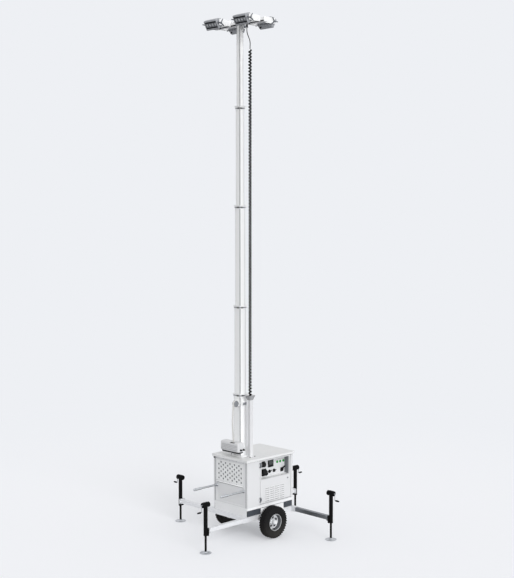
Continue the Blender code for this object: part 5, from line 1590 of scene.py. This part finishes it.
# %% Bar details
BAR_Z = 6.262
GUSSET_FOOT = 0.03
GUSSET_HEAD = 0.072
gussets = []
for side in (-1, 1):
    foot = side * GUSSET_FOOT
    gusset = slab("gusset", (foot - 0.0002, MAST_Y - 0.0025, BAR_Z - 0.052),
                  (foot + 0.0002, MAST_Y + 0.0025, BAR_Z - 0.0003))
    for vertex in gusset.data.vertices:
        if vertex.co.z > BAR_Z - 0.01 and (vertex.co.x - foot) * side > 0:
            vertex.co.x = side * GUSSET_HEAD
    gussets.append(soften(gusset, 0.0006, 1))
seat_piece(weld_pieces("head_gussets", gussets), mast_white, "mast_head")
lead_end = Vector(lead_points[-1])
gland = stub("bar_gland", lead_end - Vector((0, 0, 0.021)), (0, 0, 0.0206), 0.0115, 6)
dome = stub("bar_gland_dome", lead_end - Vector((0, 0, 0.033)), (0, 0, 0.013), 0.0065, 24, 0.01)
# A black strip along the bottom of the bar's front, painted shade of its underside.
bar_shadow_strip = slab("bar_trim", (-0.439, -0.261, BAR_Z + 0.0002), (0.439, -0.2598, BAR_Z + 0.016))
seat_piece(soften(bar_shadow_strip, 0.0004, 1), seal_rubber, "mast_head")
bar_gland = soften(weld_pieces("bar_gland", [dome, gland]), 0.0008, 1)
seat_piece(bar_gland, black_plastic, "mast_head")
print("bar details done")

# %% [markdown]
# ## The studio
# The photograph has a pale, seamless backdrop and one broad light from the control
# panel side. The floor is a large disc that fades into the backdrop colour, and only
# camera and mirror rays see the backdrop, so it adds no light to the object.

# %% Rays that see the backdrop
def seen_rays(tree):
    """One for camera and mirror rays, and the light path node itself."""
    path = add_node(tree, "ShaderNodeLightPath")
    return math_node(tree, "MAXIMUM", path.outputs["Is Camera Ray"], path.outputs["Is Glossy Ray"]), path


# %% Floor
BACKDROP = tone(238, 240, 244)
FLOOR_RADIUS = 60.0
FLOOR_FADE = (2.5, 9.0)
FLOOR_GLOW = 0.3
FLOOR_PALE = tone(209, 210, 213)
FLOOR_DIM = tone(184, 185, 188)


def make_floor():
    bpy.ops.mesh.primitive_circle_add(vertices=96, radius=FLOOR_RADIUS, fill_type="NGON")
    floor = settle("studio_floor")
    edit_all(floor)
    bpy.ops.mesh.inset(thickness=FLOOR_RADIUS - FLOOR_FADE[1])
    edit_done()
    material = bpy.data.materials.new("studio_floor")
    material.use_nodes = True
    tree = material.node_tree
    shader = tree.nodes["Principled BSDF"]
    shader.inputs["Roughness"].default_value = 0.85
    shader.inputs["Specular IOR Level"].default_value = 0.1
    seen, path = seen_rays(tree)
    bounce = mix_colour(tree, path.outputs["Is Diffuse Ray"], FLOOR_PALE, FLOOR_DIM)
    tree.links.new(bounce, shader.inputs["Base Color"])
    glow = add_node(tree, "ShaderNodeEmission")
    glow.inputs["Color"].default_value = BACKDROP
    tree.links.new(math_node(tree, "MULTIPLY", seen, FLOOR_GLOW), glow.inputs["Strength"])
    lit = add_node(tree, "ShaderNodeAddShader")
    tree.links.new(shader.outputs[0], lit.inputs[0])
    tree.links.new(glow.outputs[0], lit.inputs[1])
    far = add_node(tree, "ShaderNodeEmission")
    far.inputs["Color"].default_value = BACKDROP
    tree.links.new(seen, far.inputs["Strength"])
    place = add_node(tree, "ShaderNodeTexCoord").outputs["Object"]
    reach = add_node(tree, "ShaderNodeVectorMath", operation="LENGTH")
    tree.links.new(place, reach.inputs[0])
    fade = add_node(tree, "ShaderNodeMapRange", interpolation_type="SMOOTHSTEP")
    fade.inputs["From Min"].default_value = FLOOR_FADE[0]
    fade.inputs["From Max"].default_value = FLOOR_FADE[1]
    tree.links.new(reach.outputs["Value"], fade.inputs["Value"])
    blend = add_node(tree, "ShaderNodeMixShader")
    tree.links.new(fade.outputs["Result"], blend.inputs[0])
    tree.links.new(lit.outputs[0], blend.inputs[1])
    tree.links.new(far.outputs[0], blend.inputs[2])
    tree.links.new(blend.outputs[0], tree.nodes["Material Output"].inputs["Surface"])
    floor.data.materials.append(material)


make_floor()

# %% Backdrop and light
AMBIENT_TOP = 0.62
AMBIENT_SIDE = 1.1
KEY_STRENGTH = 1.98
KEY_FROM = (0.9, -0.28, 0.36)
KEY_SPREAD = 35


def make_world():
    world = bpy.data.worlds.new("studio")
    bpy.context.scene.world = world
    world.use_nodes = True
    tree = world.node_tree
    plain = tree.nodes["Background"]
    plain.inputs["Color"].default_value = (1, 1, 1, 1)
    split = add_node(tree, "ShaderNodeSeparateXYZ")
    tree.links.new(add_node(tree, "ShaderNodeTexCoord").outputs["Generated"], split.inputs[0])
    height = add_node(tree, "ShaderNodeMapRange", interpolation_type="SMOOTHSTEP")
    height.inputs["From Min"].default_value = 0.15
    height.inputs["From Max"].default_value = 0.8
    height.inputs["To Min"].default_value = AMBIENT_SIDE
    height.inputs["To Max"].default_value = AMBIENT_TOP
    tree.links.new(split.outputs["Z"], height.inputs["Value"])
    tree.links.new(height.outputs["Result"], plain.inputs["Strength"])
    backdrop = add_node(tree, "ShaderNodeBackground")
    backdrop.inputs["Color"].default_value = BACKDROP
    blend = add_node(tree, "ShaderNodeMixShader")
    tree.links.new(seen_rays(tree)[0], blend.inputs[0])
    tree.links.new(plain.outputs[0], blend.inputs[1])
    tree.links.new(backdrop.outputs[0], blend.inputs[2])
    tree.links.new(blend.outputs[0], tree.nodes["World Output"].inputs["Surface"])


make_world()
key = bpy.data.lights.new("key_light", "SUN")
key.energy = KEY_STRENGTH
key.angle = math.radians(KEY_SPREAD)
key_object = bpy.data.objects.new("key_light", key)
key_object.rotation_euler = Vector(KEY_FROM).to_track_quat("Z", "Y").to_euler()
bpy.context.scene.collection.objects.link(key_object)

# %% [markdown]
# ## The camera
# The camera stands off the corner between the front and the control panel side, a
# little above half the mast's height. Its place was worked out from the lid, the feet
# and the wheel.

# %% Camera
CAMERA_PLACE = (9.622, -9.477, 3.942)
CAMERA_LOOK = (-0.7086, 0.7025, -0.0655)
CAMERA_LENS = 67.65
camera = bpy.data.objects.new("camera", bpy.data.cameras.new("camera"))
camera.data.sensor_width = 36.0
camera.data.sensor_fit = "AUTO"
camera.data.lens = CAMERA_LENS
camera.data.clip_end = 300.0
camera.location = CAMERA_PLACE
camera.rotation_euler = Vector(CAMERA_LOOK).to_track_quat("-Z", "Y").to_euler()
bpy.context.scene.collection.objects.link(camera)
bpy.context.scene.camera = camera
bpy.context.scene.view_settings.view_transform = "Standard"
